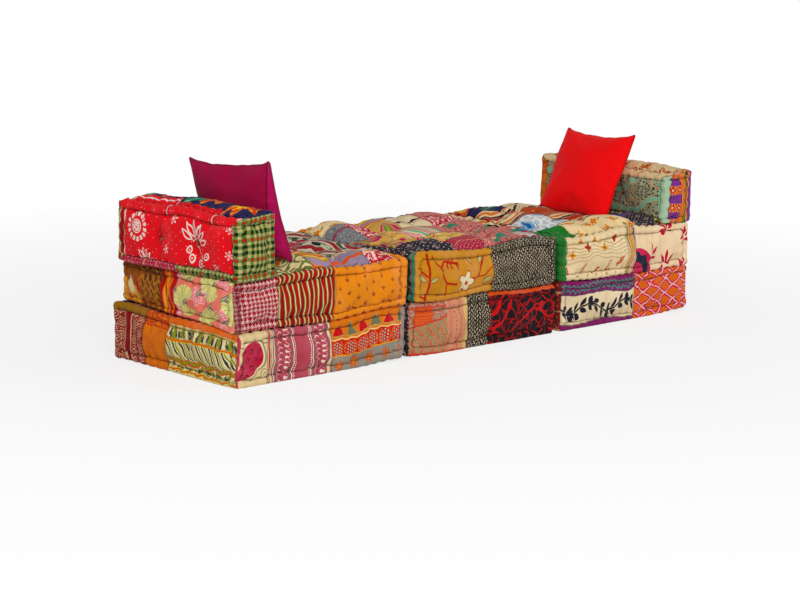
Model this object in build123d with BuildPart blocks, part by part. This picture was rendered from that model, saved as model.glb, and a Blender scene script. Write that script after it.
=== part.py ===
from build123d import *
import os
from math import atan2, cos, degrees, radians, sin, tan

# Modular floor sofa of patchwork cushions.
# Three stacks of two tufted mattresses stand in a row. A bolster stands on its
# long side at each end, and a throw pillow leans against each bolster.
# Millimetres. X runs along the row, Y from front to back, Z is up.
# The origin is on the floor under the middle of the middle stack.
# Every cushion is sewn and filled by itself and lies loose on the one below.

# Mattress
mattress_length = 700.0
mattress_depth = 606.0
mattress_height = 161.0

# Bolster, a narrow mattress that stands on a long side, a little inside the seat's depth
bolster_end_inset = 3.0
bolster_height = 187.0
bolster_thickness = 147.0

# Places of the stacks, and of the upper left mattress on the lower one
left_gap = 25.0
right_gap = 40.0
left_seat_turn_angle = -2.5
left_seat_shift = 8.0
rest_clearance = 0.3

# Rolled edge, a cord of wadding whipped into the border round each face.
# The insets are measured from the middle of the border, which swells out furthest.
roll_height = 25.0
roll_reach = 24.0
roll_inset = 2.0
roll_flank = 3.5
roll_round = 10.0
roll_flank_share = 0.22
groove_depth = 11.0
corner_radius = 28.0
corner_facets = 3

# Border between its rolled edges
belly_flank = 3.0
belly_flank_share = 0.22
side_draw = 7.0
draw_share = 0.45

# Tufted face of a mattress: puffs, the valleys between them and a dimple at each tuft
face_thickness = 44.0
crown = 12.0
valley_depth = 7.0
tuft_depth = 20.0
tuft_columns = 2
tuft_rows = 2
puff_corner = 20.0
puff_rise_shares = [0.0, 0.5, 0.82, 1.0]
puff_inset_shares = [0.0, 0.07, 0.18, 0.32]

# Strip of the seat that the bolster presses flat
pressed_margin = 12.0

# Tufted face of a bolster
bolster_face_thickness = 34.0
bolster_crown = 6.0
bolster_tuft_depth = 15.0
bolster_tuft_columns = 2
bolster_tuft_rows = 1

# Face that is pressed flat by what lies against it
pressed_thickness = 32.0
pressed_tuft_depth = 9.0
seam_chamfer = 6.0

# Dimple round a tuft
dimple_sides = 8
dimple_floor_radius = 12.0
dimple_slope_angle = 60.0

# Tuft tie, a twine through the cushion with a knot at each face
twine_width = 5.0
knot_radius = 8.0
knot_height = 5.0
knot_sides = 6

# Throw pillow: seam outline and the swell of its two halves
pillow_side = 350.0
pillow_draw = 14.0
pillow_draw_share = 0.4
pillow_corner_radius = 7.0
pillow_front_swell = 58.0
pillow_back_swell = 50.0
swell_rise_shares = [0.0, 0.24, 0.48, 0.7, 0.88, 1.0]
swell_inset_shares = [0.0, 0.02, 0.065, 0.145, 0.25, 0.37]

# Pad inside a pillow
pad_margin = 30.0
pad_wall = 14.0
pad_slope_angle = 45.0

# Lean, turn and spin of each pillow in degrees, its shift towards the back, and how
# far its lower edge sinks between the puffs of the seat
left_pillow_lean_angle = 15.6
left_pillow_turn_angle = 8.0
left_pillow_spin_angle = -3.5
left_pillow_shift = -62.0
left_pillow_sink = 15.8
right_pillow_lean_angle = 26.0
right_pillow_turn_angle = -1.0
right_pillow_spin_angle = 0.5
right_pillow_shift = 19.0
right_pillow_sink = 3.1

# How far a pillow's rounded back goes past the plane of its flat middle's lean
pillow_nestle = 5.2

# Overrun of every cut
overrun = 5.0

# Inner size of a cushion, within its rolled edges, and the grid of its tufts
mattress_inside = (mattress_length - 2 * roll_reach, mattress_depth - 2 * roll_reach)
mattress_tufts = (tuft_columns, tuft_rows)
bolster_length = mattress_depth - 2 * bolster_end_inset
bolster_inside = (bolster_length - 2 * roll_reach, bolster_height - 2 * roll_reach)
bolster_tufts = (bolster_tuft_columns, bolster_tuft_rows)

# Heights
upper_level = mattress_height + rest_clearance
seat_level = upper_level + mattress_height
crest_level = seat_level + crown
bolster_level = seat_level + rest_clearance + bolster_height / 2
bolster_top = bolster_level + bolster_height / 2

# Places along the row
left_stack_x = -(mattress_length + left_gap)
right_stack_x = mattress_length + right_gap
left_end = left_stack_x - mattress_length / 2
right_end = right_stack_x + mattress_length / 2


def ring(length, depth, radius, draw, lower_draw, share):
    """An outline with faceted round corners, whose sides pull in between them."""
    x = length / 2
    y = depth / 2
    points = []
    for quadrant, (sign_x, sign_y) in enumerate([(1, 1), (-1, 1), (-1, -1), (1, -1)]):
        for step in range(corner_facets + 1):
            angle = radians(90 * (quadrant + step / corner_facets))
            across = sign_x * (x - radius) + radius * cos(angle)
            along = sign_y * (y - radius) + radius * sin(angle)
            points.append((across, along))
        if quadrant % 2 == 0:
            drawn_y = y - (draw if sign_y > 0 else lower_draw)
            points.append((sign_x * x * share, sign_y * drawn_y))
            points.append((-sign_x * x * share, sign_y * drawn_y))
        else:
            points.append((sign_x * (x - draw), sign_y * y * share))
            points.append((sign_x * (x - draw), -sign_y * y * share))
    with BuildSketch() as outline:
        with BuildLine():
            Polyline(*points, close=True)
        make_face()
    return outline.sketch


def ring_levels(thickness):
    """Level and inset of each ring of a border, from one face to the other."""
    side = thickness - 2 * roll_height
    lower_roll = [
        (0, roll_round),
        (roll_height * roll_flank_share, roll_flank),
        (roll_height / 2, roll_inset),
        (roll_height * (1 - roll_flank_share), roll_flank),
        (roll_height, groove_depth),
    ]
    belly = [
        (roll_height + side * belly_flank_share, belly_flank),
        (thickness / 2, 0),
        (thickness - roll_height - side * belly_flank_share, belly_flank),
    ]
    upper_roll = [(thickness - level, inset) for level, inset in reversed(lower_roll)]
    return lower_roll + belly + upper_roll


def border(size, inside, thickness, lower_draw):
    """The sides of a cushion, with the rolled edge round each face."""
    with BuildPart() as sides:
        for level, inset in ring_levels(thickness):
            length = size[0] - 2 * inset
            depth = size[1] - 2 * inset
            with BuildSketch(Plane.XY.offset(level)):
                add(ring(length, depth, corner_radius, side_draw, lower_draw, draw_share))
        loft(ruled=True)
        with BuildSketch(Plane.XY.offset(-overrun)):
            Rectangle(*inside)
        extrude(amount=thickness + 2 * overrun, mode=Mode.SUBTRACT)
    return sides.part


def swell(outline, levels, insets):
    """A form that rises over an outline and draws in step by step."""
    with BuildPart() as form:
        with BuildSketch(Plane.XY.offset(levels[0])):
            add(outline)
        for step in range(len(levels) - 1):
            rise = levels[step + 1] - levels[step]
            lean = degrees(atan2(insets[step + 1] - insets[step], rise))
            upper = form.faces().sort_by(Axis.Z)[-1] if step else None
            extrude(upper, amount=rise, taper=lean)
    return form.part


def dimple(level, depth):
    """The funnel that a tuft pulls into a face, from its floor up."""
    reach = dimple_floor_radius + depth * tan(radians(dimple_slope_angle))
    with BuildPart() as funnel:
        with BuildSketch():
            RegularPolygon(reach, dimple_sides, major_radius=False)
        extrude(amount=depth, taper=dimple_slope_angle)
    upside_down = Plane((0, 0, level + depth), z_dir=(0, 0, -1))
    return funnel.part.moved(upside_down.location)


def tuft_places(inside, tufts):
    """The places of the tufts, which divide a face evenly."""
    apart_x = inside[0] / (tufts[0] + 1)
    apart_y = inside[1] / (tufts[1] + 1)
    return GridLocations(apart_x, apart_y, *tufts)


def tufted_face(inside, tufts, thickness, rise, tuft):
    """A face that puffs up between its tufts, in one puff more each way than tufts."""
    puffs = (tufts[0] + 1, tufts[1]) if tufts[1] == 1 else (tufts[0] + 1, tufts[1] + 1)
    cell = (inside[0] / puffs[0], inside[1] / puffs[1])
    valley = thickness - valley_depth
    levels = [valley + (valley_depth + rise) * share for share in puff_rise_shares]
    insets = [min(cell) * share for share in puff_inset_shares]
    with BuildSketch() as outline:
        Rectangle(*cell)
        chamfer(outline.vertices(), puff_corner)
    puff = swell(outline.sketch, levels, insets)
    funnel = dimple(thickness - tuft, tuft + rise)
    with BuildPart() as face:
        with BuildSketch():
            Rectangle(*inside)
        extrude(amount=valley)
        with GridLocations(*cell, *puffs):
            add(puff)
        with tuft_places(inside, tufts):
            add(funnel, mode=Mode.SUBTRACT)
        with BuildSketch():
            with tuft_places(inside, tufts):
                Rectangle(twine_width, twine_width)
        extrude(amount=thickness, mode=Mode.SUBTRACT)
    return face.part


def pressed_face(inside, tufts):
    """A face that lies flat, with a shallow dimple at each tuft."""
    funnel = dimple(pressed_thickness - pressed_tuft_depth, pressed_tuft_depth)
    with BuildPart() as face:
        with BuildSketch():
            Rectangle(*inside)
        extrude(amount=pressed_thickness)
        chamfer(face.faces().sort_by(Axis.Z)[-1].edges(), seam_chamfer)
        with tuft_places(inside, tufts):
            add(funnel, mode=Mode.SUBTRACT)
        with BuildSketch():
            with tuft_places(inside, tufts):
                Rectangle(twine_width, twine_width)
        extrude(amount=pressed_thickness, mode=Mode.SUBTRACT)
    return face.part


def pressed_under_bolster(face, side):
    """A tufted face whose puffs lie flat in the strip that a bolster stands on."""
    strip = bolster_thickness + pressed_margin
    middle = side * (mattress_length - strip) / 2
    with BuildPart() as pressed:
        add(face)
        with BuildSketch(Plane.XY.offset(face_thickness)):
            with Locations((middle, 0)):
                Rectangle(strip, mattress_depth)
        extrude(amount=crown + overrun, mode=Mode.SUBTRACT)
    return pressed.part


def filling(inside, tufts, thickness):
    """The cotton core between the two faces, pierced by the twine."""
    with BuildPart() as core:
        with BuildSketch():
            Rectangle(*inside)
            with tuft_places(inside, tufts):
                Rectangle(twine_width, twine_width, mode=Mode.SUBTRACT)
        extrude(amount=thickness)
    return core.part


def tuft_ties(inside, tufts, low, high):
    """Twine from the lower dimples to the upper ones, with a knot on each floor."""
    with BuildPart() as ties:
        with BuildSketch(Plane.XY.offset(low)):
            with tuft_places(inside, tufts):
                Rectangle(twine_width, twine_width)
        extrude(amount=high - low)
        with BuildSketch(Plane.XY.offset(high), Plane.XY.offset(low - knot_height)):
            with tuft_places(inside, tufts):
                RegularPolygon(knot_radius, knot_sides)
        extrude(amount=knot_height)
    return ties.part


def placed(piece, stand):
    """A piece moved from its own frame to the plane that it stands on."""
    return piece.moved(stand.location)


def mattress(top_panel, top_thickness, top_tuft):
    """The five pieces of a mattress that has this top."""
    inside = mattress_inside
    tufts = mattress_tufts
    bottom_stand = Plane((0, 0, pressed_thickness), z_dir=(0, 0, -1))
    top_stand = Plane((0, 0, mattress_height - top_thickness))
    core_height = mattress_height - pressed_thickness - top_thickness
    tie_top = mattress_height - top_tuft
    return {
        "border": mattress_border,
        "top_panel": placed(top_panel, top_stand),
        "bottom_panel": placed(pressed_panel, bottom_stand),
        "filling": placed(filling(inside, tufts, core_height), Plane((0, 0, pressed_thickness))),
        "tuft_ties": tuft_ties(inside, tufts, pressed_tuft_depth, tie_top),
    }


def bolster():
    """The five pieces of a bolster, lying on its outer face."""
    inside = bolster_inside
    tufts = bolster_tufts
    size = (bolster_length, bolster_height)
    face = tufted_face(
        inside, tufts, bolster_face_thickness, bolster_crown, bolster_tuft_depth
    )
    outer_stand = Plane((0, 0, bolster_face_thickness), z_dir=(0, 0, -1))
    core_stand = Plane((0, 0, bolster_face_thickness))
    inner_stand = Plane((0, 0, bolster_thickness - bolster_face_thickness))
    core_height = bolster_thickness - 2 * bolster_face_thickness
    tie_top = bolster_thickness - bolster_tuft_depth
    return {
        "border": border(size, inside, bolster_thickness, 0),
        "inner_panel": placed(face, inner_stand),
        "outer_panel": placed(face, outer_stand),
        "filling": placed(filling(inside, tufts, core_height), core_stand),
        "tuft_ties": tuft_ties(inside, tufts, bolster_tuft_depth, tie_top),
    }


def pillow_half(height):
    """One half of a pillow that lies on its seam: the cover, and the pad inside it."""
    side = (pillow_side, pillow_side)
    outline = ring(*side, pillow_corner_radius, pillow_draw, pillow_draw, pillow_draw_share)
    levels = [height * share for share in swell_rise_shares]
    insets = [pillow_side * share for share in swell_inset_shares]
    pad_side = pillow_side - 2 * (pillow_draw + pad_margin)
    with BuildPart() as pad:
        with BuildSketch():
            Rectangle(pad_side, pad_side)
        extrude(amount=height - pad_wall, taper=pad_slope_angle)
    with BuildPart() as cover:
        add(swell(outline, levels, insets))
        add(pad.part, mode=Mode.SUBTRACT)
    return cover.part, pad.part


def pillow():
    """The cover halves and the pad of a throw pillow, about the plane of its seam."""
    front_cover, front_pad = pillow_half(pillow_front_swell)
    back_cover, back_pad = pillow_half(pillow_back_swell)
    back_stand = Plane((0, 0, 0), z_dir=(0, 0, -1))
    with BuildPart() as inner_pad:
        add(front_pad)
        add(placed(back_pad, back_stand))
    return {
        "front_cover": front_cover,
        "back_cover": placed(back_cover, back_stand),
        "inner_pad": inner_pad.part,
    }


def seam_plane(side, lean, turn, spin, shift, sink):
    """The seam's plane of a pillow that stands on the seat and leans on a bolster."""
    lean = radians(lean)
    turn = radians(turn)
    half = pillow_side / 2
    drop = half * (cos(radians(spin)) + sin(radians(abs(spin)))) * cos(lean)
    centre_z = crest_level - sink + rest_clearance + drop
    plateau = half - pillow_side * swell_inset_shares[-1]
    reach = pillow_back_swell + rest_clearance - (centre_z - bolster_top) * sin(lean)
    offset = reach / cos(lean) + plateau * sin(abs(turn)) - pillow_nestle
    bolster_face = (right_end if side > 0 else left_end) - side * bolster_thickness
    seam = Plane(
        (bolster_face - side * offset, shift, centre_z),
        x_dir=(side * sin(turn), -side * cos(turn), 0),
        z_dir=(-side * cos(turn) * cos(lean), -side * sin(turn) * cos(lean), sin(lean)),
    )
    return seam.rotated((0, 0, spin))


def save(name, pieces, stand):
    """Place the pieces of a cushion, label each one and write it."""
    for piece_name, piece in pieces.items():
        piece = placed(piece, stand)
        piece.label = f"{name}_{piece_name}"
        export_step(piece, f"parts/{piece.label}.step")


os.makedirs("parts", exist_ok=True)

# Pieces that all mattresses share
mattress_size = (mattress_length, mattress_depth)
mattress_border = border(mattress_size, mattress_inside, mattress_height, side_draw)
pressed_panel = pressed_face(mattress_inside, mattress_tufts)
seat_panel = tufted_face(mattress_inside, mattress_tufts, face_thickness, crown, tuft_depth)

# The lower mattresses, whose tops are pressed flat by the upper ones
lower_mattress = mattress(pressed_panel, pressed_thickness, pressed_tuft_depth)
save("left_lower_mattress", lower_mattress, Plane((left_stack_x, 0, 0)))
save("middle_lower_mattress", lower_mattress, Plane.XY)
save("right_lower_mattress", lower_mattress, Plane((right_stack_x, 0, 0)))

# The upper mattresses, pressed flat only where a bolster stands
for name, side, seat_x, turn in [
    ("left", -1, left_stack_x + left_seat_shift, left_seat_turn_angle),
    ("middle", 0, 0, 0),
    ("right", 1, right_stack_x, 0),
]:
    top_panel = pressed_under_bolster(seat_panel, side) if side else seat_panel
    upper_mattress = mattress(top_panel, face_thickness, tuft_depth)
    seat = Plane((seat_x, 0, upper_level)).rotated((0, 0, turn))
    save(f"{name}_upper_mattress", upper_mattress, seat)

# The bolsters, flush with the ends of the row
end_bolster = bolster()
for name, outer_x in [("left", left_end), ("right", right_end - bolster_thickness)]:
    stand = Plane((outer_x, 0, bolster_level), x_dir=(0, 1, 0), z_dir=(1, 0, 0))
    save(f"{name}_bolster", end_bolster, stand)

# The throw pillows
throw_pillow = pillow()
left_seam = seam_plane(
    -1,
    left_pillow_lean_angle,
    left_pillow_turn_angle,
    left_pillow_spin_angle,
    left_pillow_shift,
    left_pillow_sink,
)
right_seam = seam_plane(
    1,
    right_pillow_lean_angle,
    right_pillow_turn_angle,
    right_pillow_spin_angle,
    right_pillow_shift,
    right_pillow_sink,
)
save("left_pillow", throw_pillow, left_seam)
save("right_pillow", throw_pillow, right_seam)
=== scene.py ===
# %% [markdown]
# A floor sofa is built here from ten loose cushions: six tufted mattresses in three stacks,
# two bolsters that stand on their long side, and two throw pillows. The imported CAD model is
# loaded first, because every cushion made here rides on one of its bodies and has to stay in
# the space that its solids hold. The noise that wrinkles the cloth is seeded here too: left
# alone, Blender seeds it with the clock, and every run would give other wrinkles.

import math

import bmesh
import bpy
import numpy as np
from mathutils import Matrix, Vector, noise
from mathutils.bvhtree import BVHTree


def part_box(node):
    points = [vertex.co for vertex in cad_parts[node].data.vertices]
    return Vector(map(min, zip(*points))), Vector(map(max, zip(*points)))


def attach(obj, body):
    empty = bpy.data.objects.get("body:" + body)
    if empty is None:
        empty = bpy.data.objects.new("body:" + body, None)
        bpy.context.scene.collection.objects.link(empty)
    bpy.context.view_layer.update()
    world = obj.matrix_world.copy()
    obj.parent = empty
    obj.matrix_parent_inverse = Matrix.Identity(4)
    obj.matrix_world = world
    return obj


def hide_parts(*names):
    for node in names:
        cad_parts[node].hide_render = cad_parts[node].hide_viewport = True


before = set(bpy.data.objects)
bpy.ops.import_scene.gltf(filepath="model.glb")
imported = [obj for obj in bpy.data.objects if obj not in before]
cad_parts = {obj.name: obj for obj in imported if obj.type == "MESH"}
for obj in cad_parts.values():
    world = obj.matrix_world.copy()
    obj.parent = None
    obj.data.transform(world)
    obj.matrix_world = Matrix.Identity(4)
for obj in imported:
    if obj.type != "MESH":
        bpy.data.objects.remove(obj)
scene = bpy.context.scene
NOISE_SEED = 3
noise.seed_set(NOISE_SEED)
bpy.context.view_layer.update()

# %% [markdown]
# A few steps come up again and again: an object is put in the scene, a bmesh becomes a mesh,
# numbers of a mesh are read or set all at once, which is far quicker than one by one, and a
# node is made and fed.

# %% Small helpers
def add_object(name, data):
    """A new object in the scene."""
    piece = bpy.data.objects.new(name, data)
    scene.collection.objects.link(piece)
    return piece


def to_mesh(shape, name):
    """A mesh from a finished bmesh."""
    mesh = bpy.data.meshes.new(name)
    shape.to_mesh(mesh)
    shape.free()
    return mesh


def read_numbers(items, name, width, kind=float):
    """One property of all the items, a row for each."""
    values = np.empty(len(items) * width, dtype=kind)
    items.foreach_get(name, values)
    return values.reshape(-1, width)


def set_points(mesh, points):
    """Move all the points of a mesh."""
    mesh.vertices.foreach_set("co", points.ravel())
    mesh.update()


def add_node(tree, kind, *fed, **named):
    """A new node. Values or sockets feed its inputs, first in order and then by name."""
    made = tree.nodes.new(f"ShaderNode{kind}")
    for key, value in [*enumerate(fed), *named.items()]:
        socket = made.inputs[key if isinstance(key, int) else key.replace("_", " ")]
        if isinstance(value, bpy.types.NodeSocket):
            tree.links.new(value, socket)
        else:
            socket.default_value = value
    return made


# %% [markdown]
# The photograph was taken from the front left and a little above with a long lens. Its
# direction was found by fitting a camera to the corners of the stacks, so the camera is set
# first and everything after it can be compared with the picture. The camera leans a little, so
# its axes are worked out from the three angles and set as one matrix.

# %% Camera
CAMERA_PLACE = Vector((-5.256, -5.350, 1.492))
CAMERA_YAW = math.radians(43.936)
CAMERA_DOWN = math.radians(10.436)
CAMERA_ROLL = math.radians(1.225)
CAMERA_LENS = 98.53


def camera_axes():
    """The camera's right, up and backward directions."""
    ahead = Vector((
        math.sin(CAMERA_YAW) * math.cos(CAMERA_DOWN),
        math.cos(CAMERA_YAW) * math.cos(CAMERA_DOWN),
        -math.sin(CAMERA_DOWN),
    ))
    level = Vector((math.cos(CAMERA_YAW), -math.sin(CAMERA_YAW), 0))
    upward = level.cross(ahead)
    right = math.cos(CAMERA_ROLL) * level + math.sin(CAMERA_ROLL) * upward
    up = -math.sin(CAMERA_ROLL) * level + math.cos(CAMERA_ROLL) * upward
    return right, up, -ahead


camera = add_object("camera", bpy.data.cameras.new("camera"))
camera.data.lens = CAMERA_LENS
camera.matrix_world = Matrix.Translation(CAMERA_PLACE) @ Matrix(camera_axes()).transposed().to_4x4()
scene.camera = camera

# %% [markdown]
# The light is that of a plain studio: a pale floor that the camera sees as nearly white, an
# even glow from all round, and one large soft lamp from the camera's left, so that the tufts
# and rolled edges cast soft shadows. The strengths are chosen so that a colour renders about
# as it is written.

# %% Floor, world and lamps
FLOOR_SIZE = 30.0
WORLD_STRENGTH = 0.42
KEY_WATTS = 270.0
KEY_SIZE = 3.2
KEY_PLACE = Vector((-4.2, -4.6, 4.4))
FILL_WATTS = 60.0
FILL_SIZE = 4.0
FILL_PLACE = Vector((3.6, -4.2, 2.6))
LAMP_AIM = Vector((0, 0, 0.25))
FLOOR_COLOUR = (0.86, 0.86, 0.86, 1)
GLOW_RANGE = (1.2, 3.4)
GLOW_LEAST = 0.74


def add_lamp(name, place, size, watts):
    """A square soft lamp that points at the middle of the sofa."""
    lamp = add_object(name, bpy.data.lights.new(name, "AREA"))
    lamp.data.energy, lamp.data.size = watts, size
    lamp.location = place
    lamp.rotation_euler = (LAMP_AIM - place).to_track_quat("-Z", "Y").to_euler()


def make_world():
    """Even white light, which the camera sees as plain white."""
    scene.world = bpy.data.worlds.new("studio")
    scene.world.use_nodes = True
    tree = scene.world.node_tree
    tree.nodes.clear()
    rays = add_node(tree, "LightPath")
    strength = add_node(tree, "Mix", Factor=rays.outputs["Is Camera Ray"], A=WORLD_STRENGTH, B=1.0)
    glow = add_node(tree, "Background", (1, 1, 1, 1), strength.outputs["Result"])
    add_node(tree, "OutputWorld", glow.outputs[0])


def make_floor():
    """A pale floor that keeps the soft shadow of the cushions and glows white further out."""
    shape = bmesh.new()
    bmesh.ops.create_grid(shape, x_segments=1, y_segments=1, size=FLOOR_SIZE / 2)
    floor = add_object("floor", to_mesh(shape, "floor"))
    material = bpy.data.materials.new("pale_floor")
    material.use_nodes = True
    tree = material.node_tree
    tree.nodes.clear()
    place, rays = add_node(tree, "TexCoord"), add_node(tree, "LightPath")
    away = add_node(tree, "VectorMath", place.outputs["Object"])
    away.operation = "LENGTH"
    fade = add_node(tree, "MapRange", away.outputs["Value"], *GLOW_RANGE, GLOW_LEAST, 1.0)
    share = add_node(tree, "Math", rays.outputs["Is Camera Ray"], fade.outputs["Result"])
    share.operation = "MULTIPLY"
    matt, glow = add_node(tree, "BsdfDiffuse", FLOOR_COLOUR), add_node(tree, "Emission", Strength=1.0)
    mixed = add_node(tree, "MixShader", share.outputs[0], matt.outputs[0], glow.outputs[0])
    add_node(tree, "OutputMaterial", mixed.outputs[0])
    floor.data.materials.append(material)


make_world()
make_floor()
add_lamp("key_lamp", KEY_PLACE, KEY_SIZE, KEY_WATTS)
add_lamp("fill_lamp", FILL_PLACE, FILL_SIZE, FILL_WATTS)
scene.view_settings.view_transform = "Standard"

# %% [markdown]
# The cushions are not alike, but they are made alike. Each one is a box of patchwork with a
# thick rolled edge, whipped with strong thread, along all its edges. A box could be modelled
# by hand, but eight of them with hundreds of puckers are quicker to make as one dense grid whose
# points are pushed by the same few rules that shape the real cushion: the roll, the stitched
# groove beside it, the swell of the filling, and the tufts. This cell names those sizes.

# %% Sizes of the sewing
ROLL_RADIUS = 0.0135
ROLL_START = math.radians(45)
ROLL_SWEEP = math.radians(118)
GROOVE_REACH = 0.024
FINE_STEPS = (0.003,) * 8 + (0.004, 0.005, 0.006)
INNER_STEP = 0.0072
PROXY_STEPS = (0.012, 0.012, 0.010)
PROXY_STEP = 0.0148
STITCH_SPACING = 0.038
TUFT_REACH = 0.034
TUFT_DRAW = 0.105
VALLEY_WIDTH = 0.026
VALLEY_REACH = 0.11

AXES = {
    "left": (0, -1), "right": (0, 1), "front": (1, -1), "back": (1, 1), "bottom": (2, -1), "top": (2, 1),
}


def grid_places(length, steps=FINE_STEPS, inner_step=INNER_STEP):
    """Where the grid lines lie along one side: close together on the roll, wider inside."""
    rim = [0.0]
    for step in steps:
        rim.append(rim[-1] + step)
    count = max(2, round((length - 2 * rim[-1]) / inner_step))
    inner = np.linspace(rim[-1], length - rim[-1], count + 1)[1:-1]
    whole = rim + list(inner) + [length - place for place in reversed(rim)]
    return np.array(whole) - length / 2


print("grid lines along a mattress:", len(grid_places(0.7)))

# %% [markdown]
# The box of grid lines comes from a bmesh cube. Its edges along X, Y and Z are cut one
# direction at a time, which leaves clean squares, and the even cuts are then moved to the
# uneven places worked out above.

# %% A gridded box
def gridded_box(size, *steps):
    """A box whose six sides are grids, and the flat place of each of its points."""
    places = [grid_places(length, *steps) for length in size]
    shape = bmesh.new()
    bmesh.ops.create_cube(shape, size=1.0)
    for axis in range(3):
        along = [edge for edge in shape.edges if abs((edge.verts[1].co - edge.verts[0].co)[axis]) > 0.5]
        bmesh.ops.subdivide_edges(shape, edges=along, cuts=len(places[axis]) - 2)
    mesh = to_mesh(shape, "cover")
    flat = read_numbers(mesh.vertices, "co", 3)
    for axis, lines in enumerate(places):
        index = np.rint((flat[:, axis] + 0.5) * (len(lines) - 1)).astype(int)
        flat[:, axis] = lines[index]
    return mesh, flat


def side_parts(flat, half, side):
    """A side's axis and sign, its two other axes, and which points lie on it."""
    axis, sign = AXES[side]
    first, second = [other for other in range(3) if other != axis]
    return axis, sign, first, second, np.abs(flat[:, axis] - sign * half[axis]) < 1e-6


# %% [markdown]
# The first rule is the rolled edge. Across any edge, the cloth runs round a roll of wadding
# and dives into the stitched groove, so a point near an edge is moved onto that curve by its
# distance from the edge. The same distance, measured to each of the three pairs of sides,
# serves all twelve edges and all eight corners.

# %% The rolled edge
def roll_angle(distance):
    """How far round the roll the cloth has come at this distance from the edge."""
    return ROLL_START + ROLL_SWEEP * np.clip(distance / GROOVE_REACH, 0, 1)


def smooth(start, end, value):
    """0 before start, 1 after end, and a smooth ramp between them."""
    share = np.clip((value - start) / (end - start), 0, 1)
    return share * share * (3 - 2 * share)


def swell(distance, reach):
    """The rise of the filling beyond the groove: steep at first, then level."""
    share = np.clip((distance - GROOVE_REACH) / reach, 0, 1)
    return np.sqrt(np.clip(1 - (1 - share) ** 2, 0, 1))


def seeded_wave(points, scale, seed):
    """Smooth noise, about -1 to 1, at each point."""
    shift = Vector((seed * 7.31, seed * 3.17, seed * 5.71))
    return np.array([noise.noise(Vector(point) / scale + shift) for point in points])


def vector_wave(points, scale, seed):
    """Smooth noise in three directions at each point."""
    shift = Vector((seed * 2.91, seed * 8.13, seed * 4.37))
    return np.array([noise.noise_vector(Vector(point) / scale + shift) for point in points])


# %% [markdown]
# A side of the cushion is a panel of cloth between its four grooves. Its points rise from the
# groove to the crown, the stitches pull puckers into it, and each tuft draws a dimple with
# folds that fan out from it. All of these are heights above the flat side, so they are added
# up, side by side, and no point has to know about the others.

# %% Panels, puckers and tufts
def outer_drop(distance):
    """How far the outer half of the roll falls away towards the edge."""
    angle = np.minimum(roll_angle(distance), math.pi / 2)
    return ROLL_RADIUS * (1 - np.sin(angle))


def inner_drop(distance):
    """How far the inner half of the roll dives into the groove."""
    angle = np.maximum(roll_angle(distance), math.pi / 2)
    return ROLL_RADIUS * (1 - np.sin(angle))


GROOVE_DEPTH = float(inner_drop(np.array(GROOVE_REACH)))


def pucker(distance, along, phase):
    """The pull of the whipping thread: deepest at each stitch, and gone a hand's width inside."""
    stitch = (0.5 + 0.5 * np.cos(2 * math.pi * along / STITCH_SPACING + phase)) ** 2 - 0.375
    stitch *= 1.0 + 0.55 * np.sin(along * 31 + 2 * phase) * np.sin(along * 13 - phase)
    on_roll = 0.0058 * smooth(-0.004, 0.010, distance) * (1 - smooth(0.024, 0.030, distance))
    beyond = 0.0068 * smooth(0.020, 0.028, distance) * np.exp(-np.maximum(distance - 0.026, 0) / 0.020)
    return -stitch * (on_roll + beyond)


def tuft_pull(across, along, tufts, depth, seed):
    """The dimple of each tuft, with the folds that fan out from it."""
    height = np.zeros(len(across))
    for number, (tuft_x, tuft_y) in enumerate(tufts):
        run_x = across - tuft_x
        run_y = along - tuft_y
        away = np.hypot(run_x, run_y)
        angle = np.arctan2(run_y, run_x)
        cone = 0.62 * np.exp(-away / TUFT_REACH) + 0.38 * np.exp(-(away / TUFT_DRAW) ** 2)
        folds = np.sin(5 * angle + 1.7 * number + seed) + 0.6 * np.sin(9 * angle - 2.3 * number + seed)
        fold_size = 0.0030 * np.exp(-away / 0.060) * (1 - np.exp(-(away / 0.018) ** 2))
        height += -depth * cone + folds * fold_size
    return height


def valley(across, along, tufts, depth):
    """The soft troughs that run from tuft to tuft and on to the edges."""
    height = np.zeros(len(across))
    nearest = np.full(len(across), 1.0)
    for tuft_x, tuft_y in tufts:
        nearest = np.minimum(nearest, np.hypot(across - tuft_x, along - tuft_y))
        for run in (across - tuft_x, along - tuft_y):
            height = np.minimum(height, -depth * np.exp(-(run / VALLEY_WIDTH) ** 2))
    return height * (0.35 + 0.65 * np.exp(-nearest / VALLEY_REACH))


# %% [markdown]
# Now the rules are applied to a whole cushion. A point on a side moves out or in by that
# side's height. Every other point slides along its side so that the grid follows the roll.
# The cloth also has slack, and wrinkles a little everywhere, which two sizes of smooth noise
# give. The seed keeps a cushion's wrinkles the same in every run.

# %% Shape of one cushion
SIDE_CROWN = 0.004
SIDE_REACH = 0.050
TOP_REACH = 0.115
TUFT_DEPTH = 0.030
VALLEY_DEPTH = 0.012
SLACK_WAVE, SLACK_SCALE = 0.0075, 0.15
FINE_WAVE, FINE_SCALE = 0.0018, 0.034


def groove_shade(flat, half, panels):
    """How deep in a groove or tuft a point lies, where the cloth is painted darker as shade."""
    distance = np.sort(half - np.abs(flat), axis=1)[:, 1]
    shade = np.exp(-((distance - GROOVE_REACH) / 0.0048) ** 2)
    for side, panel in panels.items():
        _, _, first, second, on_side = side_parts(flat, half, side)
        for tuft_x, tuft_y in panel.get("tufts", []):
            away = np.hypot(flat[:, first] - tuft_x, flat[:, second] - tuft_y)
            shade = np.maximum(shade, on_side * np.exp(-(away / 0.02) ** 2))
    return shade


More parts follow.
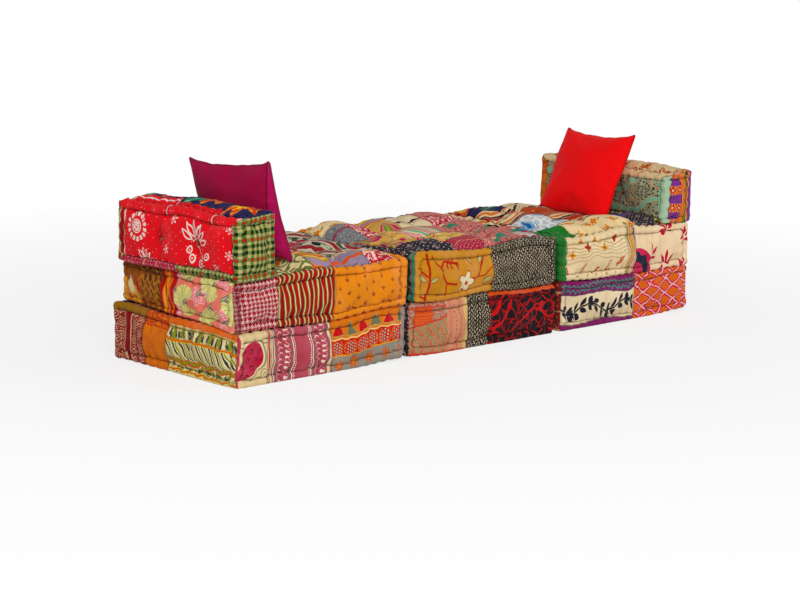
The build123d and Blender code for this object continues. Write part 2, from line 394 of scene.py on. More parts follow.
def grid_tufts(length, width, columns, rows):
    """Tufts that divide a panel evenly."""
    inner_x = length - 2 * GROOVE_REACH
    inner_y = width - 2 * GROOVE_REACH
    xs = [inner_x * ((column + 1) / (columns + 1) - 0.5) for column in range(columns)]
    ys = [inner_y * ((row + 1) / (rows + 1) - 0.5) for row in range(rows)]
    return [(x, y) for x in xs for y in ys]


def side_height(flat, half, side, panel, seed):
    """Height of a side's points above the flat side."""
    axis, _, first, second, _ = side_parts(flat, half, side)
    edge_a = half[first] - np.abs(flat[:, first])
    edge_b = half[second] - np.abs(flat[:, second])
    reach = panel.get("reach", SIDE_REACH)
    level = swell(edge_a, min(reach, half[first] - GROOVE_REACH))
    level = level * swell(edge_b, min(reach, half[second] - GROOVE_REACH))
    height = level * (GROOVE_DEPTH + panel.get("crown", SIDE_CROWN))
    height -= np.minimum(inner_drop(edge_a), inner_drop(edge_b))
    height -= outer_drop(edge_a) + outer_drop(edge_b)
    drift = 1.4 * np.sin(flat[:, first] * 9 + seed) + 1.4 * np.sin(flat[:, second] * 11 - seed)
    height += pucker(edge_a, flat[:, second], drift + np.sign(flat[:, first]) + axis)
    height += pucker(edge_b, flat[:, first], drift + np.sign(flat[:, second]) - axis)
    tufts = panel.get("tufts", [])
    if tufts:
        across, along = flat[:, first], flat[:, second]
        inside = smooth(0.02, 0.06, np.minimum(edge_a, edge_b))
        pull = tuft_pull(across, along, tufts, panel["tuft_depth"], seed)
        height += inside * (pull + valley(across, along, tufts, panel["valley"]))
    if "pressed" in panel:
        flat_part = panel["pressed"](flat)
        height = height * (1 - flat_part) + np.minimum(height, 0) * flat_part
    return height


def shaped(flat, size, panels, seed):
    """Where every point of the flat box lies on the sewn and filled cushion."""
    half = np.array(size) / 2
    distance = half - np.abs(flat)
    place = flat.copy()
    for axis in range(3):
        sign = np.sign(flat[:, axis])
        slide = ROLL_RADIUS * (1 - np.cos(roll_angle(distance[:, axis]))) - distance[:, axis]
        slide = slide * (1 - smooth(GROOVE_REACH, 0.045, distance[:, axis]))
        place[:, axis] -= sign * slide
    for side in AXES:
        axis, sign, _, _, on_side = side_parts(flat, half, side)
        height = side_height(flat[on_side], half, side, panels.get(side, {}), seed)
        place[on_side, axis] = flat[on_side, axis] + sign * height
    return place


# %% [markdown]
# The stacks are not level. Each layer lies on the one below, so the two share the same gentle
# waves where they meet, and the floor keeps the lowest ones flat. Because the waves are worked
# out from the place in the room, a cushion and its neighbour always agree. A few broad rises and
# hollows are added where the photograph shows them: the seats stand highest along the back, and
# the left bolster has sunk into the rear of its seat.

# %% How the cushions lie
LAYER_WAVES = (0.0, 0.010, 0.016, 0.016)
LAYER_RISES = (
    (0, 1.08, -0.30, 0.13, 0.011), (0, -1.08, 0.22, 0.24, 0.006), (0, -0.40, -0.30, 0.14, 0.010),
    (2, 0.79, -0.06, 0.13, -0.012), (3, -0.93, 0.12, 0.11, -0.012), (3, 0.82, -0.06, 0.16, -0.010),
    (1, -1.08, 0.30, 0.30, 0.021), (1, -0.40, -0.30, 0.17, 0.022), (1, 0.00, -0.30, 0.26, 0.014),
    (1, 0.42, -0.30, 0.14, 0.012), (2, -1.08, 0.30, 0.26, -0.022), (2, -0.38, -0.30, 0.16, 0.020),
    (2, 0.20, -0.30, 0.11, 0.015), (2, 0.70, -0.30, 0.14, 0.007), (2, -0.45, 0.30, 0.22, 0.012),
    (2, 0.05, 0.30, 0.30, 0.018), (2, 0.55, 0.30, 0.24, 0.019), (3, -0.90, -0.28, 0.16, 0.012),
)


def layer_wave(points, layer):
    """The height of the waves between two layers. The floor, layer 0, has none."""
    level = points.copy()
    level[:, 2] = layer * 3.0
    height = LAYER_WAVES[layer] * seeded_wave(level, 0.26, 11)
    for where, x, y, spread, rise in LAYER_RISES:
        if where == layer:
            away = np.hypot(points[:, 0] - x, points[:, 1] - y)
            height += rise * np.exp(-(away / spread) ** 2)
    return height


def corner_pull(flat, half, moves):
    """Slide the corners of a cushion, seen from above, and everything between them."""
    share_x = (flat[:, 0] / half[0] + 1) / 2
    share_y = (flat[:, 1] / half[1] + 1) / 2
    shift = np.zeros((len(flat), 3))
    for corner, move in moves.items():
        weight = share_x if "right" in corner else 1 - share_x
        weight = weight * (share_y if "back" in corner else 1 - share_y)
        shift[:, :2] += weight[:, None] * move
    return shift


# %% [markdown]
# The patchwork is a plan for each side: rows of patches from the bottom up, and in each row
# the patches from left to right, as someone who faces that side sees them. Each entry gives
# where the patch ends and its cloth. The rolled edge is part of the border, so the
# border's patches run on over the roll.

# %% Plan of the patches
SIDE_VIEWS = {
    "front": ((0, 1), (2, 1)), "back": ((0, -1), (2, 1)), "left": ((1, -1), (2, 1)),
    "right": ((1, 1), (2, 1)), "top": ((0, 1), (1, 1)), "bottom": ((0, 1), (1, -1)),
}


def side_coordinates(flat, half, side):
    """Distances from a side's lower left corner, rightwards and upwards, as seen from outside."""
    (across, way_a), (up, way_b) = SIDE_VIEWS[side]
    return way_a * flat[:, across] + half[across], way_b * flat[:, up] + half[up]


def find_patch(plan, across, up):
    """The patch of a plan that a point lies in, as (cloth, left end, lower end)."""
    low = 0.0
    for row_end, row in plan:
        if up <= row_end or row is plan[-1][1]:
            left = 0.0
            for end, cloth in row:
                if across <= end or end == row[-1][0]:
                    return cloth, left, low
                left = end
        low = row_end
    return None


# %% [markdown]
# The covers are pieced from printed, checked and striped cottons, many of them old quilts with
# rows of running stitches. Each cloth could be an image. Here each is drawn with nodes, so the
# prints stay sharp at any distance and cost no picture file. A drawing needs a lot of sums, and
# a long list of Math nodes is hard to read, so this small class lets Python's own signs make
# the nodes: a Wire is one number in the node tree, and adding two of them adds a node. Its
# words mean what they say: below and above give 1 where the number is under or over a limit,
# least and most pick the smaller or larger of two, and size is the number without its sign.

# %% Sums in a node tree
class Wire:
    """One number in a material's nodes."""

    def __init__(self, tree, socket):
        self.tree, self.socket = tree, socket

    def sum_node(self, operation, *values):
        """A Math node of the given kind, fed with wires or plain numbers."""
        fed = [value.socket if isinstance(value, Wire) else value for value in values]
        node = add_node(self.tree, "Math", *fed)
        node.operation = operation
        return Wire(self.tree, node.outputs[0])

    def __rsub__(self, other):
        return self.sum_node("SUBTRACT", other, self)

    def wave(self, length):
        """A sine wave of the given length, between -1 and 1."""
        return self.sum_node("SINE", self * (2 * math.pi / length))

    def bearing(self, other):
        """The direction of the point (self, other), in turns from -0.5 to 0.5."""
        return self.sum_node("ARCTAN2", other, self) / (2 * math.pi)


def as_sum(operation):
    """A method of Wire that adds one Math node."""
    return lambda wire, *others: wire.sum_node(operation, wire, *others)


for sign, operation in {
    "__add__": "ADD", "__radd__": "ADD", "__sub__": "SUBTRACT", "__mul__": "MULTIPLY",
    "__rmul__": "MULTIPLY", "__truediv__": "DIVIDE", "below": "LESS_THAN", "above": "GREATER_THAN",
    "least": "MINIMUM", "most": "MAXIMUM", "fraction": "FRACT", "whole": "FLOOR", "size": "ABSOLUTE",
    "root": "SQRT",
}.items():
    setattr(Wire, sign, as_sum(operation))


# %% [markdown]
# With sums at hand, the shapes that block printers and weavers use are one line each: a band, a
# row of stripes, a disc, a ring, a leaf, a drop. Every shape is a mask, which is 1 where the dye
# goes. All lengths in the drawings are millimetres on the patch, from its lower left corner.

# %% Shapes for prints
def band(x, low, high):
    """Between two limits."""
    return x.above(low) * x.below(high)


def line(x, middle, half):
    """A line of the given half width."""
    return (x - middle).size().below(half)


def stripes(x, pitch, share, start=0.0):
    """Stripes that fill a share of each pitch."""
    return ((x - start) / pitch).fraction().below(share)


def reach(x, y):
    """The distance from the middle."""
    return (x * x + y * y).root()


def disc(x, y, radius):
    """A round spot."""
    return reach(x, y).below(radius)


def hoop(x, y, radius, half):
    """A round line."""
    return line(reach(x, y), radius, half)


def turned(x, y, angle):
    """The same place seen in axes that are turned by an angle in radians."""
    return x * math.cos(angle) + y * math.sin(angle), y * math.cos(angle) - x * math.sin(angle)


def leaf(x, y, length, width, angle=0.0):
    """A leaf with two pointed ends, lying along x before it is turned."""
    along, across = turned(x, y, angle)
    return across.size().below((1 - along * along / (length * length)) * width)


def drop(x, y, radius, height, bend=0.0):
    """How far a point is from the middle of a drop with its tip up; 1 on the outline."""
    x = x - y * y * bend
    rise = y.most(0.0)
    side = x / ((1 - rise / height).most(0.04) * radius)
    return reach(side, y.least(0.0) / radius) + y.above(height) * 9


def blossom(x, y, radius, petals, depth=0.35, turn=0.0):
    """A flower of round petals; the number is 1 on its outline."""
    lobe = ((x.bearing(y) + turn) * petals).wave(1.0)
    return reach(x, y) / ((lobe * depth + (1 - depth)) * radius)


def spiral(x, y, pitch, share):
    """A winding line about the middle."""
    return (reach(x, y) / pitch - x.bearing(y)).fraction().below(share)


def cell(x, pitch):
    """The place in a repeating row of cells, from the cell's middle."""
    return ((x / pitch).fraction() - 0.5) * pitch


def repeat(u, v, across, up, shift=0.5):
    """The same in two directions; each column of cells is shifted up."""
    rise = v / up + (u / across).whole() * shift
    return cell(u, across), (rise.fraction() - 0.5) * up


def branch(u, v, start, end, half):
    """A straight twig from one point to another."""
    run, rise = end[0] - start[0], end[1] - start[1]
    length = math.hypot(run, rise)
    along, across = turned(u - start[0], v - start[1], math.atan2(rise, run))
    return across.size().below(half) * band(along, 0.0, length)


# %% [markdown]
# A Cloth starts as a plain ground and takes dyes one over another. Old hand prints are never
# quite true, so the place that a drawing reads drifts by a millimetre or two with a soft noise.
#
# `finished` then gives the cloth its age and make: the colours fade and darken in patches, the
# yarns show as a fine weave, and rows of running stitches draw the cloth into small ripples.
# Shade is painted into the colour along the seams between patches and deep in the grooves and
# tufts. Sheen and the other constants of the shader are set on its own sockets.

# %% A cloth that takes dyes
def shade(colour):
    """A screen colour of 0 to 255 as the shader's linear colour."""
    return tuple((value / 255) ** 2.2 for value in colour) + (1.0,)


YARN = 1.15


class Cloth:
    """A cotton with its print."""

    def __init__(self, name, ground, drift):
        self.material = bpy.data.materials.new(name)
        self.material.use_nodes = True
        self.tree = self.material.node_tree
        self.colour = shade(ground)
        place = self.add("UVMap")
        place.uv_map = "patch"
        split = self.add("SeparateXYZ", place.outputs[0])
        self.true_u = Wire(self.tree, split.outputs[0]) * 1000
        self.true_v = Wire(self.tree, split.outputs[1]) * 1000
        self.u = self.true_u + (self.noise(26, 3) - 0.5) * drift
        self.v = self.true_v + (self.noise(26, 8) - 0.5) * drift

    def add(self, kind, *fed, **named):
        """A new node of the given kind."""
        return add_node(self.tree, kind, *fed, **named)

    def noise(self, size, seed=0.0, detail=1.0, stretch=1.0):
        """Soft noise with spots of about the given size, around 0.5."""
        u, v = self.true_u / (size * stretch), self.true_v / size
        join = self.add("CombineXYZ", u.socket, v.socket, seed)
        node = self.add("TexNoise", Vector=join.outputs[0], Scale=1.0, Detail=detail)
        return Wire(self.tree, node.outputs[0])

    def cracks(self, size, seed=0.0, u=None, v=None):
        """The distance to the nearest border between scattered cells."""
        u, v = (u or self.u) / size, (v or self.v) / size
        join = self.add("CombineXYZ", u.socket, v.socket, seed)
        node = self.add("TexVoronoi", Vector=join.outputs[0], Scale=1.0)
        node.feature = "DISTANCE_TO_EDGE"
        return Wire(self.tree, node.outputs[0]) * size

    def stored(self, name):
        """A number that is stored at the points of the mesh."""
        node = self.add("Attribute")
        node.attribute_name = name
        return Wire(self.tree, node.outputs["Fac"])

    def dye(self, mask, colour):
        """Lay a colour where the mask is 1."""
        node = self.add("Mix", mask.socket)
        node.data_type = "RGBA"
        for name, value in (("A", self.colour), ("B", shade(colour))):
            socket = next(item for item in node.inputs if item.name == name and item.type == "RGBA")
            if isinstance(value, tuple):
                socket.default_value = value
            else:
                self.tree.links.new(value, socket)
        self.colour = next(item for item in node.outputs if item.type == "RGBA")

    def layers(self, level, *dyes):
        """Colours from the outside in, each where the level is under its limit."""
        for limit, colour in dyes:
            self.dye(level.below(limit), colour)

    def lines(self, x, *dyes):
        """Lines, each with its middle, half width and colour."""
        for middle, half, colour in dyes:
            self.dye(line(x, middle, half), colour)

    def striped(self, x, pitch, *dyes, within=None):
        """Stripes of one pitch, each with its share, start and colour."""
        for share, start, colour in dyes:
            mask = stripes(x, pitch, share, start)
            self.dye(within * mask if within else mask, colour)

    def finished(self, rows, thread, sheen, crumple, fade):
        """Age, weave, stitching, and painted shade along the seams and in the grooves and tufts."""
        height = self.noise(11, 21, 2) * 0.9 * crumple + self.noise(34, 22, 1, 1.6) * 2.2 * crumple
        height = height + self.true_u.wave(YARN) * self.true_v.wave(YARN) * 0.05
        if rows:
            row = (self.true_v + (self.noise(60, 31) - 0.5) * 5) / rows
            stitch = line(row.fraction(), 0.5, 0.4 / rows)
            stitch = stitch * (self.true_u / 5.2 + row.whole() * 0.37).fraction().below(0.58)
            self.dye(stitch * 0.45, thread)
            height = height - line(row.fraction(), 0.5, 0.12) * 0.25 + row.wave(1.0).size() * 0.3
        # Painted shade: the cloth is darkened along the sunken seams.
        self.dye(self.stored("seam") * 0.4, (60, 36, 28))
        # Painted shade: the cloth is darkened deep in the grooves and tufts.
        self.dye(self.stored("groove") * 0.5, (34, 22, 18))
        age, grain = self.noise(120, 41, 3), self.noise(1.7, 42, 1)
        tint, light = (0.5 - age) * 0.3 * fade + 1.02, (age - 0.5) * 0.36 * fade + grain * 0.24 + 0.88
        worn = self.add("HueSaturation", Saturation=tint.socket, Value=light.socket, Color=self.colour)
        bump = self.add("Bump", Distance=0.001, Height=height.socket)
        surface = self.tree.nodes["Principled BSDF"]
        self.tree.links.new(worn.outputs[0], surface.inputs["Base Color"])
        self.tree.links.new(bump.outputs[0], surface.inputs["Normal"])
        self.tree.links.new((0.97 - grain * 0.2).socket, surface.inputs["Roughness"])
        surface.inputs["Sheen Weight"].default_value = sheen
        surface.inputs["Sheen Roughness"].default_value = 0.45
        surface.inputs["Specular IOR Level"].default_value = 0.16
        return self.material


CLOTHS = {}


def printed(ground, rows=0, thread=(236, 214, 180), drift=5.0, sheen=0.06, crumple=1.0, fade=1.0):
    """Turn the function below into the cloth of that name."""
    def keep(draw):
        cloth = Cloth(draw.__name__, ground, drift)
        draw(cloth, cloth.u, cloth.v)
        CLOTHS[draw.__name__] = cloth.finished(rows, thread, sheen, crumple, fade)
        return draw
    return keep


# %% [markdown]
# Now the prints themselves, each drawn as a printer or weaver would repeat it. First the left
# stack's lower cushion: a bandanna scroll, a stitched orange, an ikat with diagonal stripes, a
# paisley, a lace stripe and a banded border cloth.

# %% Cloths of the lower left cushion
@printed((142, 24, 26), drift=7)
def red_scroll(c, u, v):
    white = (208, 164, 130)
    x, y = repeat(u + c.noise(18, 5) * 14, v, 34, 34)
    c.dye(spiral(x, y, 6.4, 0.33) * disc(x, y, 15), white)
    x, y = repeat(u, v, 7.6, 7.6)
    c.dye(disc(x, y, 1.9) * c.noise(14, 2).above(0.44), white)
    arch = u - (v - 80) * (v - 80) * 0.002
    c.dye(band(arch, 62, 90), (136, 20, 22))
    c.dye(line(arch, 62, 2.2) + line(arch, 92, 2.2), white)
    c.dye(v.above(140), (150, 105, 30))


@printed((220, 112, 14), rows=7.5, thread=(240, 168, 60))
def kantha_orange(c, u, v):
    c.dye(c.noise(45, 4).above(0.56) * 0.5, (205, 88, 16))
    c.dye(v.above(118) * c.noise(8, 4, 2).above(0.47), (196, 62, 28))


@printed((226, 208, 150), drift=8)
def olive_chevron(c, u, v):
    olive, navy, gold, rust = (138, 142, 40), (52, 58, 62), (226, 176, 44), (200, 92, 26)
    edge = v + (c.noise(3.2, 6, 1) - 0.5) * 40 + (c.noise(16, 9) - 0.5) * 34
    for low, high in ((106, 150), (14, 40)):
        side = edge.above(low) * edge.below(high)
        half = (low + high) / 2
        c.dye(side * (edge + u.wave(44) * 12).below(half + 8) * stripes(u, 44, 0.55, 8), olive)
        slope = stripes(u + edge * 0.3, 22, 0.42)
        c.dye(side * slope * (edge + u.wave(22) * 10).below(half + 6), navy)
        c.dye(side * stripes(u, 44, 0.3, 30) * edge.above(half + 4), (214, 172, 70))
    middle = band(v, 47, 100)
    c.dye(middle, (232, 216, 164))
    slope = u + v * 0.72 + (v - 60).least(0) * 1.2
    c.striped(slope, 30, (0.26, 0, navy), (0.22, 12, olive), (0.09, 22, (176, 160, 60)), within=middle)
    c.lines(v + u.wave(60) * 1.6, (102, 4.4, gold), (102, 2, rust), (106, 1, rust), (44, 3.4, olive),
            (48, 1.6, rust), (40, 1.6, rust), (10, 3.6, gold), (10, 1.6, rust))
    c.dye(v.above(148), (222, 108, 48))


@printed((222, 198, 148))
def cream_paisley(c, u, v):
    moss, pink = (112, 112, 84), (188, 62, 82)
    c.dye(line(v + u.wave(90) * 9, 128, 1.2) + line(v - u.wave(70) * 8, 26, 1.1), moss)
    x, y = u - 108, v - 40
    c.dye(spiral(x, y, 8, 0.22) * disc(x, y, 15), moss)
    x, y = u - 66, v - 140
    c.dye(spiral(x, y, 7, 0.24) * disc(x, y, 10), moss)
    x, y = turned(u - 64, v - 88, 2.55)
    level = drop(x, y, 42, 118, 0.0025)
    c.dye(band(level, 1.16, 1.24) * u.above(7), moss)
    c.dye(band(level, 1, 1.08), (236, 220, 180))
    c.dye(level.below(1), pink)
    inner_x, inner_y = repeat(x, y, 25, 27)
    seed = drop(inner_x, inner_y, 6.5, 13)
    c.dye(level.below(0.86) * band(seed, 0.62, 1.1), (84, 16, 40))
    c.dye(line(u, 124, 3.4), (186, 62, 84))
    c.dye(line(u, 131, 1.2) + line(u, 117, 1), moss)
    c.dye(u.below(6), pink)


@printed((180, 80, 92), drift=6)
def pink_lace(c, u, v):
    moss, pale = (98, 104, 88), (238, 220, 200)
    for middle in (40, 190):
        x = u - middle
        c.dye(line(x.size() + v.wave(17) * 3.2, 20, 1.7), (222, 140, 150))
        c.dye(line(x.size() - v.wave(17) * 3, 31, 2.3), moss)
        c.dye(line(x.size(), 36.5, 1.5), pale)
        y = cell(v, 17)
        c.dye(drop(y, x - 6, 4.2, 17).below(1), pale)
        c.dye(band(drop(y, x * -1 - 10, 3.6, 14), 0.7, 1.15), (96, 30, 52))
        c.dye(hoop(y + 8.5, x + 14, 4.4, 0.9), pale)
    for middle in (84, 146):
        c.dye(line(u, middle, 1.8) * stripes(v, 6.5, 0.6), pale)
    c.dye(line(u + v.wave(30) * 1.5, 232, 3.6), (226, 200, 150))


@printed((216, 114, 26), drift=6)
def orange_banded(c, u, v):
    grey, red = (146, 138, 124), (200, 40, 26)
    lift = v - u * 0.02
    x = cell(u, 54)
    y = lift - 108
    wedge = (x.size() + (y - 44) * 0.52).below(0) * y.above(3)
    for grow, colour in ((4, (196, 150, 80)), (0, (112, 112, 84))):
        c.dye((x.size() + (y - 44 - grow) * 0.52).below(0) * y.above(3 - grow), colour)
    c.dye(wedge * stripes(u, 108, 0.5), (196, 30, 36))
    c.dye(lift.below(100), red)
    x = cell(u, 50)
    spot_x, spot_y = repeat(u, lift, 8.6, 8.6)
    c.dye(lift.below(94) * reach(x, lift - 74).below(19) * disc(spot_x, spot_y, 2.5), (150, 190, 170))
    c.dye(lift.below(94) * line(reach(x, lift - 74), 22, 1.3), (232, 120, 40))
    c.dye(line(lift + u.wave(44) * 1.6, 101, 2.4), (236, 196, 120))
    c.dye(lift.below(51), grey)
    c.dye(line(lift + u.wave(50) * 1.2, 52, 2.2), (224, 150, 60))
    x = cell(u, 66)
    c.dye(blossom(x, lift - 22, 22, 9, 0.22).below(1), (206, 92, 38))
    c.dye(blossom(x, lift - 22, 12, 7, 0.3).below(1), (226, 150, 60))
    c.dye(u.above(304), (150, 138, 132))


# %% [markdown]
# The cushion above it: a brushed ikat, two stripes, a floral with fans, a houndstooth check and
# a marigold cotton with small sprigs.

# %% Cloths of the upper left cushion
@printed((150, 82, 26), drift=12)
def ikat_petal(c, u, v):
    dark, amber = (88, 46, 16), (222, 150, 54)
    brush = (c.noise(4, 3, 2, 0.35) - 0.5) * 26
    c.dye((v + brush + u * 0.25).below(96) * u.below(110), amber)
    c.dye(stripes(u + brush, 31, 0.42) * u.above(112), dark)
    c.dye(stripes(v + brush + u.wave(32) * 9, 26, 0.36) * u.above(104), (176, 116, 44))
    for place, tilt, red_side in ((58, 2.15, -20), (92, 2, 16)):
        c.dye(leaf(u - place - red_side, v - 70 + brush * 0.35, 46, 7, tilt), (176, 26, 20))
    c.dye(leaf(u - 74, v - 64 + brush * 0.35, 50, 15, 2.05), (232, 208, 160))
    c.dye(band(v, 14, 30) * u.above(40) * stripes(u, 110, 0.62), (196, 30, 26))
    c.dye(v.above(138) * c.noise(9, 7).above(0.5), dark)


@printed((192, 28, 24))
def red_orange_stripe(c, u, v):
    bow = u + (v - 80) * (v - 80) * 0.0012
    c.lines(bow, (30, 7.5, (232, 128, 30)), (48, 6.5, (232, 128, 30)), (30, 2, (240, 186, 70)),
            (39, 1.5, (120, 30, 16)), (66, 1.6, (232, 160, 60)), (14, 1.5, (110, 20, 20)))


@printed((240, 128, 112), drift=8)
def coral_fan(c, u, v):
    lime, grey = (214, 216, 130), (128, 112, 104)
    x, y = repeat(u, v, 122, 132, 0.45)
    petal = reach(x, y)
    c.dye(petal.below(56) * x.bearing(y).size().above(0.08), lime)
    c.dye(petal.below(56) * stripes(x.bearing(y), 0.047, 0.14) * petal.above(14), (206, 110, 90))
    x, y = repeat(u - 64, v - 30, 122, 132, 0.45)
    rose = blossom(x, y, 34, 6, 0.18)
    c.dye(rose.below(1), (236, 118, 128))
    dot_x, dot_y = repeat(x, y, 6.5, 6.5)
    c.dye(rose.below(1) * disc(dot_x, dot_y, 1.6), (250, 206, 196))
    c.dye(line(rose, 1, 0.05) + line(rose, 0.55, 0.05), (250, 200, 190))
    x, y = repeat(u - 96, v - 68, 64, 75, 0.5)
    c.dye(leaf(x, y, 19, 6.5, 0.9) + leaf(x - 9, y + 4, 15, 5, -0.4), grey)
    c.dye(leaf(x, y, 15, 1.2, 0.9), lime)


@printed((158, 16, 38), drift=3, crumple=0.7)
def crimson_houndstooth(c, u, v):
    pale = (222, 180, 174)
    a, b = ((u + v * 0.08) / 14.5).fraction(), (v / 14.5).fraction()
    first, second = a.below(0.56), b.below(0.56)
    twill = ((a - b) * 2).fraction().below(0.42)
    c.dye((1 - first) * (1 - second), pale)
    c.dye((first - second).size() * twill, pale)
    # Painted shade: a darker band along the patch's left edge.
    c.dye(u.below(22) * 0.55, (104, 14, 42))


@printed((172, 20, 28), drift=3)
def red_lime_stripe(c, u, v):
    bow = u - (v - 80) * (v - 80) * 0.0016 + v * 0.02
    c.striped(bow, 18.6, (0.42, 0, (60, 66, 24)), (0.30, 1.1, (162, 168, 80)),
              (0.08, 3.4, (240, 226, 170)))
    c.dye(stripes(bow, 37.2, 0.10, 12), (120, 14, 34))


@printed((233, 138, 44), rows=8, thread=(240, 186, 90), drift=8)
def marigold_sprig(c, u, v):
    x, y = repeat(u, v, 36, 40)
    x, y = x + (c.noise(60, 2) - 0.5) * 12, y + (c.noise(60, 5) - 0.5) * 12
    sprig = leaf(x, y - 4, 6.5, 2.3, 1.57)
    sprig = sprig + leaf(x - 4, y, 5.5, 2.1, 0.9) + leaf(x + 4, y, 5.5, 2.1, 2.2)
    c.dye((sprig + line(x, 0, 0.9) * band(y, -8, 0)).least(1) * 0.9, (146, 70, 48))
    c.dye(disc(x, y + 1, 1.8), (196, 60, 40))


# %% [markdown]
# The middle stack: a mustard cloth with a flowering branch, a black and cream basket weave, a
# pieced salmon block, red with black leaves, and dark cloths with dots at the corners.

# %% Cloths of the middle stack
@printed((202, 138, 54), drift=6)
def mustard_branch(c, u, v):
    red, moss = (178, 44, 26), (166, 164, 96)
    for start, end, half in (
        ((44, 0), (56, 66), 3.4), ((56, 66), (50, 160), 3), ((70, 152), (98, 116), 2.6),
        ((98, 116), (150, 62), 2.6), ((150, 62), (196, 54), 2.6), ((104, 110), (122, 124), 2.4),
        ((122, 124), (196, 116), 2.2), ((138, 122), (150, 104), 1.8), ((138, 122), (156, 138), 1.8),
        ((156, 120), (170, 102), 1.8), ((156, 120), (176, 134), 1.8), ((176, 118), (194, 102), 1.8),
        ((264, 64), (330, 66), 2), ((330, 66), (372, 100), 2), ((150, 62), (146, 12), 1.8),
        ((300, 66), (330, 130), 2), ((0, 30), (44, 8), 2), ((8, 110), (50, 80), 2),
    ):
        c.dye(branch(u, v, start, end, half * 1.4), red)
    for x, y, angle in ((76, 72, 0.5), (30, 76, 2.6), (116, 28, 0.1), (318, 128, 1.1), (262, 128, 2.4),
                        (345, 44, 0.6)):
        for length, width, colour in ((23, 9.5, red), (20, 7, moss), (16, 1, (222, 206, 150))):
            c.dye(leaf(u - x, v - y, length, width, angle), colour)
    flower = blossom(u - 237, v - 55, 40, 5, 0.22, 0.05)
    c.layers(flower, (1.06, red), (0.94, (236, 222, 186)))
    c.dye(flower.below(0.94) * stripes((u - 237).bearing(v - 54), 0.05, 0.12), moss)
    c.dye(disc(u - 237, v - 54, 7.5), (196, 70, 34))


@printed((34, 30, 30), drift=2.5, crumple=0.8)
def basket_weave(c, u, v):
    x, y = repeat(u, v, 9.2, 12.5)
    odd = ((u / 18.4).fraction().below(0.5) * 2 - 1) * 0.42
    dash = (x - y * odd).size().below(2.1) * y.size().below(4.4)
    c.dye(dash, (182, 166, 140))
    c.dye(dash * c.noise(30, 3).above(0.55), (150, 134, 106))


@printed((178, 140, 98), rows=7, drift=7)
def salmon_block(c, u, v):
    red, moss = (206, 60, 34), (146, 142, 104)
    fan = reach(u + 30, v + 20)
    c.striped(fan, 19, (0.3, 0, moss), (0.22, 9, (214, 110, 84)))
    x, y = repeat(u, v, 24, 28)
    c.dye(line(drop(x, y, 7, 13), 1, 0.14) * v.below(84), red)
    upper = (v - u * 0.16).above(86) * u.below(168)
    c.dye(upper, (166, 156, 132))
    scribble = c.cracks(9, 2)
    c.dye(upper * scribble.below(1), (190, 70, 56))
    c.dye(upper * band(u, 30, 104) * v.below(150), (220, 84, 34))
    c.dye(line(v - u * 0.16, 86, 2.6) * u.below(176) + line(v, 152, 2.2) * u.below(176), red)
    c.dye(band(u, 166, 250), (210, 142, 110))
    x = u - 202
    y = cell(v, 13)
    c.dye(disc(x, y, 2.3), (186, 52, 52))
    c.dye(line(u, 182, 1.5) + line(u, 224, 1.5) + line(u, 174, 1), (204, 86, 60))
    c.dye(band(u, 246, 268), (218, 178, 106))
    c.dye(line(u, 268, 1.6), (52, 70, 60))
    c.dye(v.below(5), red)


@printed((182, 18, 22), drift=10)
def black_red_leaf(c, u, v):
    ink = (34, 24, 28)
    warp = c.noise(46, 3) * 70
    lean_x, lean_y = turned(u + warp, v - warp * 0.5, 0.6)
    c.dye(c.cracks(19, 2, lean_x * 0.5, lean_y).above(0.95), ink)
    bough = reach(u + 20, v - 190)
    c.dye(band(bough, 96, 108) + band(bough, 142, 150) * u.below(190), (204, 22, 26))
    c.dye(line(v - 60 + u.wave(300) * 36, 0, 3.4), (204, 22, 26))
    c.dye(v.above(154), (214, 86, 50))


@printed((48, 42, 50), drift=2)
def black_dots(c, u, v):
    x, y = repeat(u, v, 13, 13)
    c.dye(disc(x, y, 1.9), (196, 182, 176))
    x, y = repeat(u, v, 39, 39)
    c.dye(disc(x, y, 5.5), (124, 24, 40))
    c.dye(hoop(x, y, 5.5, 0.8), (208, 190, 180))


@printed((58, 132, 108))
def teal_plain(c, u, v):
    c.dye(stripes(u, 52, 0.06, 12) * 0.6, (206, 74, 92))


# %% [markdown]
# The right stack: a cream embroidery of waves and leaves with a striped edge, cream with red
# sprigs, a dark vine between purple borders, and an orange lattice.

# %% Cloths of the right stack
@printed((236, 210, 164), drift=6)
def cream_wave(c, u, v):
    brown, rust = (112, 70, 38), (176, 42, 30)
    for row, height in enumerate((74, 88, 100, 112, 124, 136)):
        lift = v + (u + row * 7).wave(86) * (3.5 - row * 0.3) + u.wave(210) * 7
        c.dye(line(lift, height, 1.1) * stripes(u, 5.2, 0.62, row * 2), brown)
    for x, y, warm in ((36, 96, 1), (112, 116, 0), (196, 110, 1), (262, 134, 0), (150, 146, 1),
                       (74, 148, 1)):
        flower = blossom(u - x, v - y, 15, 4, 0.26, 0.1)
        c.dye(flower.below(1), (222, 140, 34) if warm else rust)
        c.dye(flower.below(0.35), brown)
    for x, y, angle in ((20, 22, 1.9), (86, 28, 1.2), (148, 22, 0.8), (220, 32, 1.1), (282, 46, 1)):
        for step in range(4):
            place_x = u - x - step * 9 * math.cos(angle)
            place_y = v - y - step * 9 * math.sin(angle)
            c.dye(leaf(place_x - 4, place_y, 8, 3.1, angle - 0.8), rust)
            colour = (206, 130, 44) if step % 2 else rust
            c.dye(leaf(place_x + 4, place_y + 2, 8, 3.1, angle + 0.9), colour)
    x, y = repeat(u, v, 26, 22)
    c.dye(leaf(x, y, 6, 2.2, 0.6) * v.below(24), (120, 128, 70))


@printed((232, 202, 158), drift=2)
def striped_border(c, u, v):
    bow = u + (v - 80) * (v - 80) * 0.0011 - 3
    c.lines(bow, (5, 2.4, (98, 124, 74)), (14, 4.6, (226, 138, 40)), (22, 1.6, (98, 124, 74)),
            (30, 3.4, (222, 140, 130)), (38, 3.2, (40, 44, 60)))


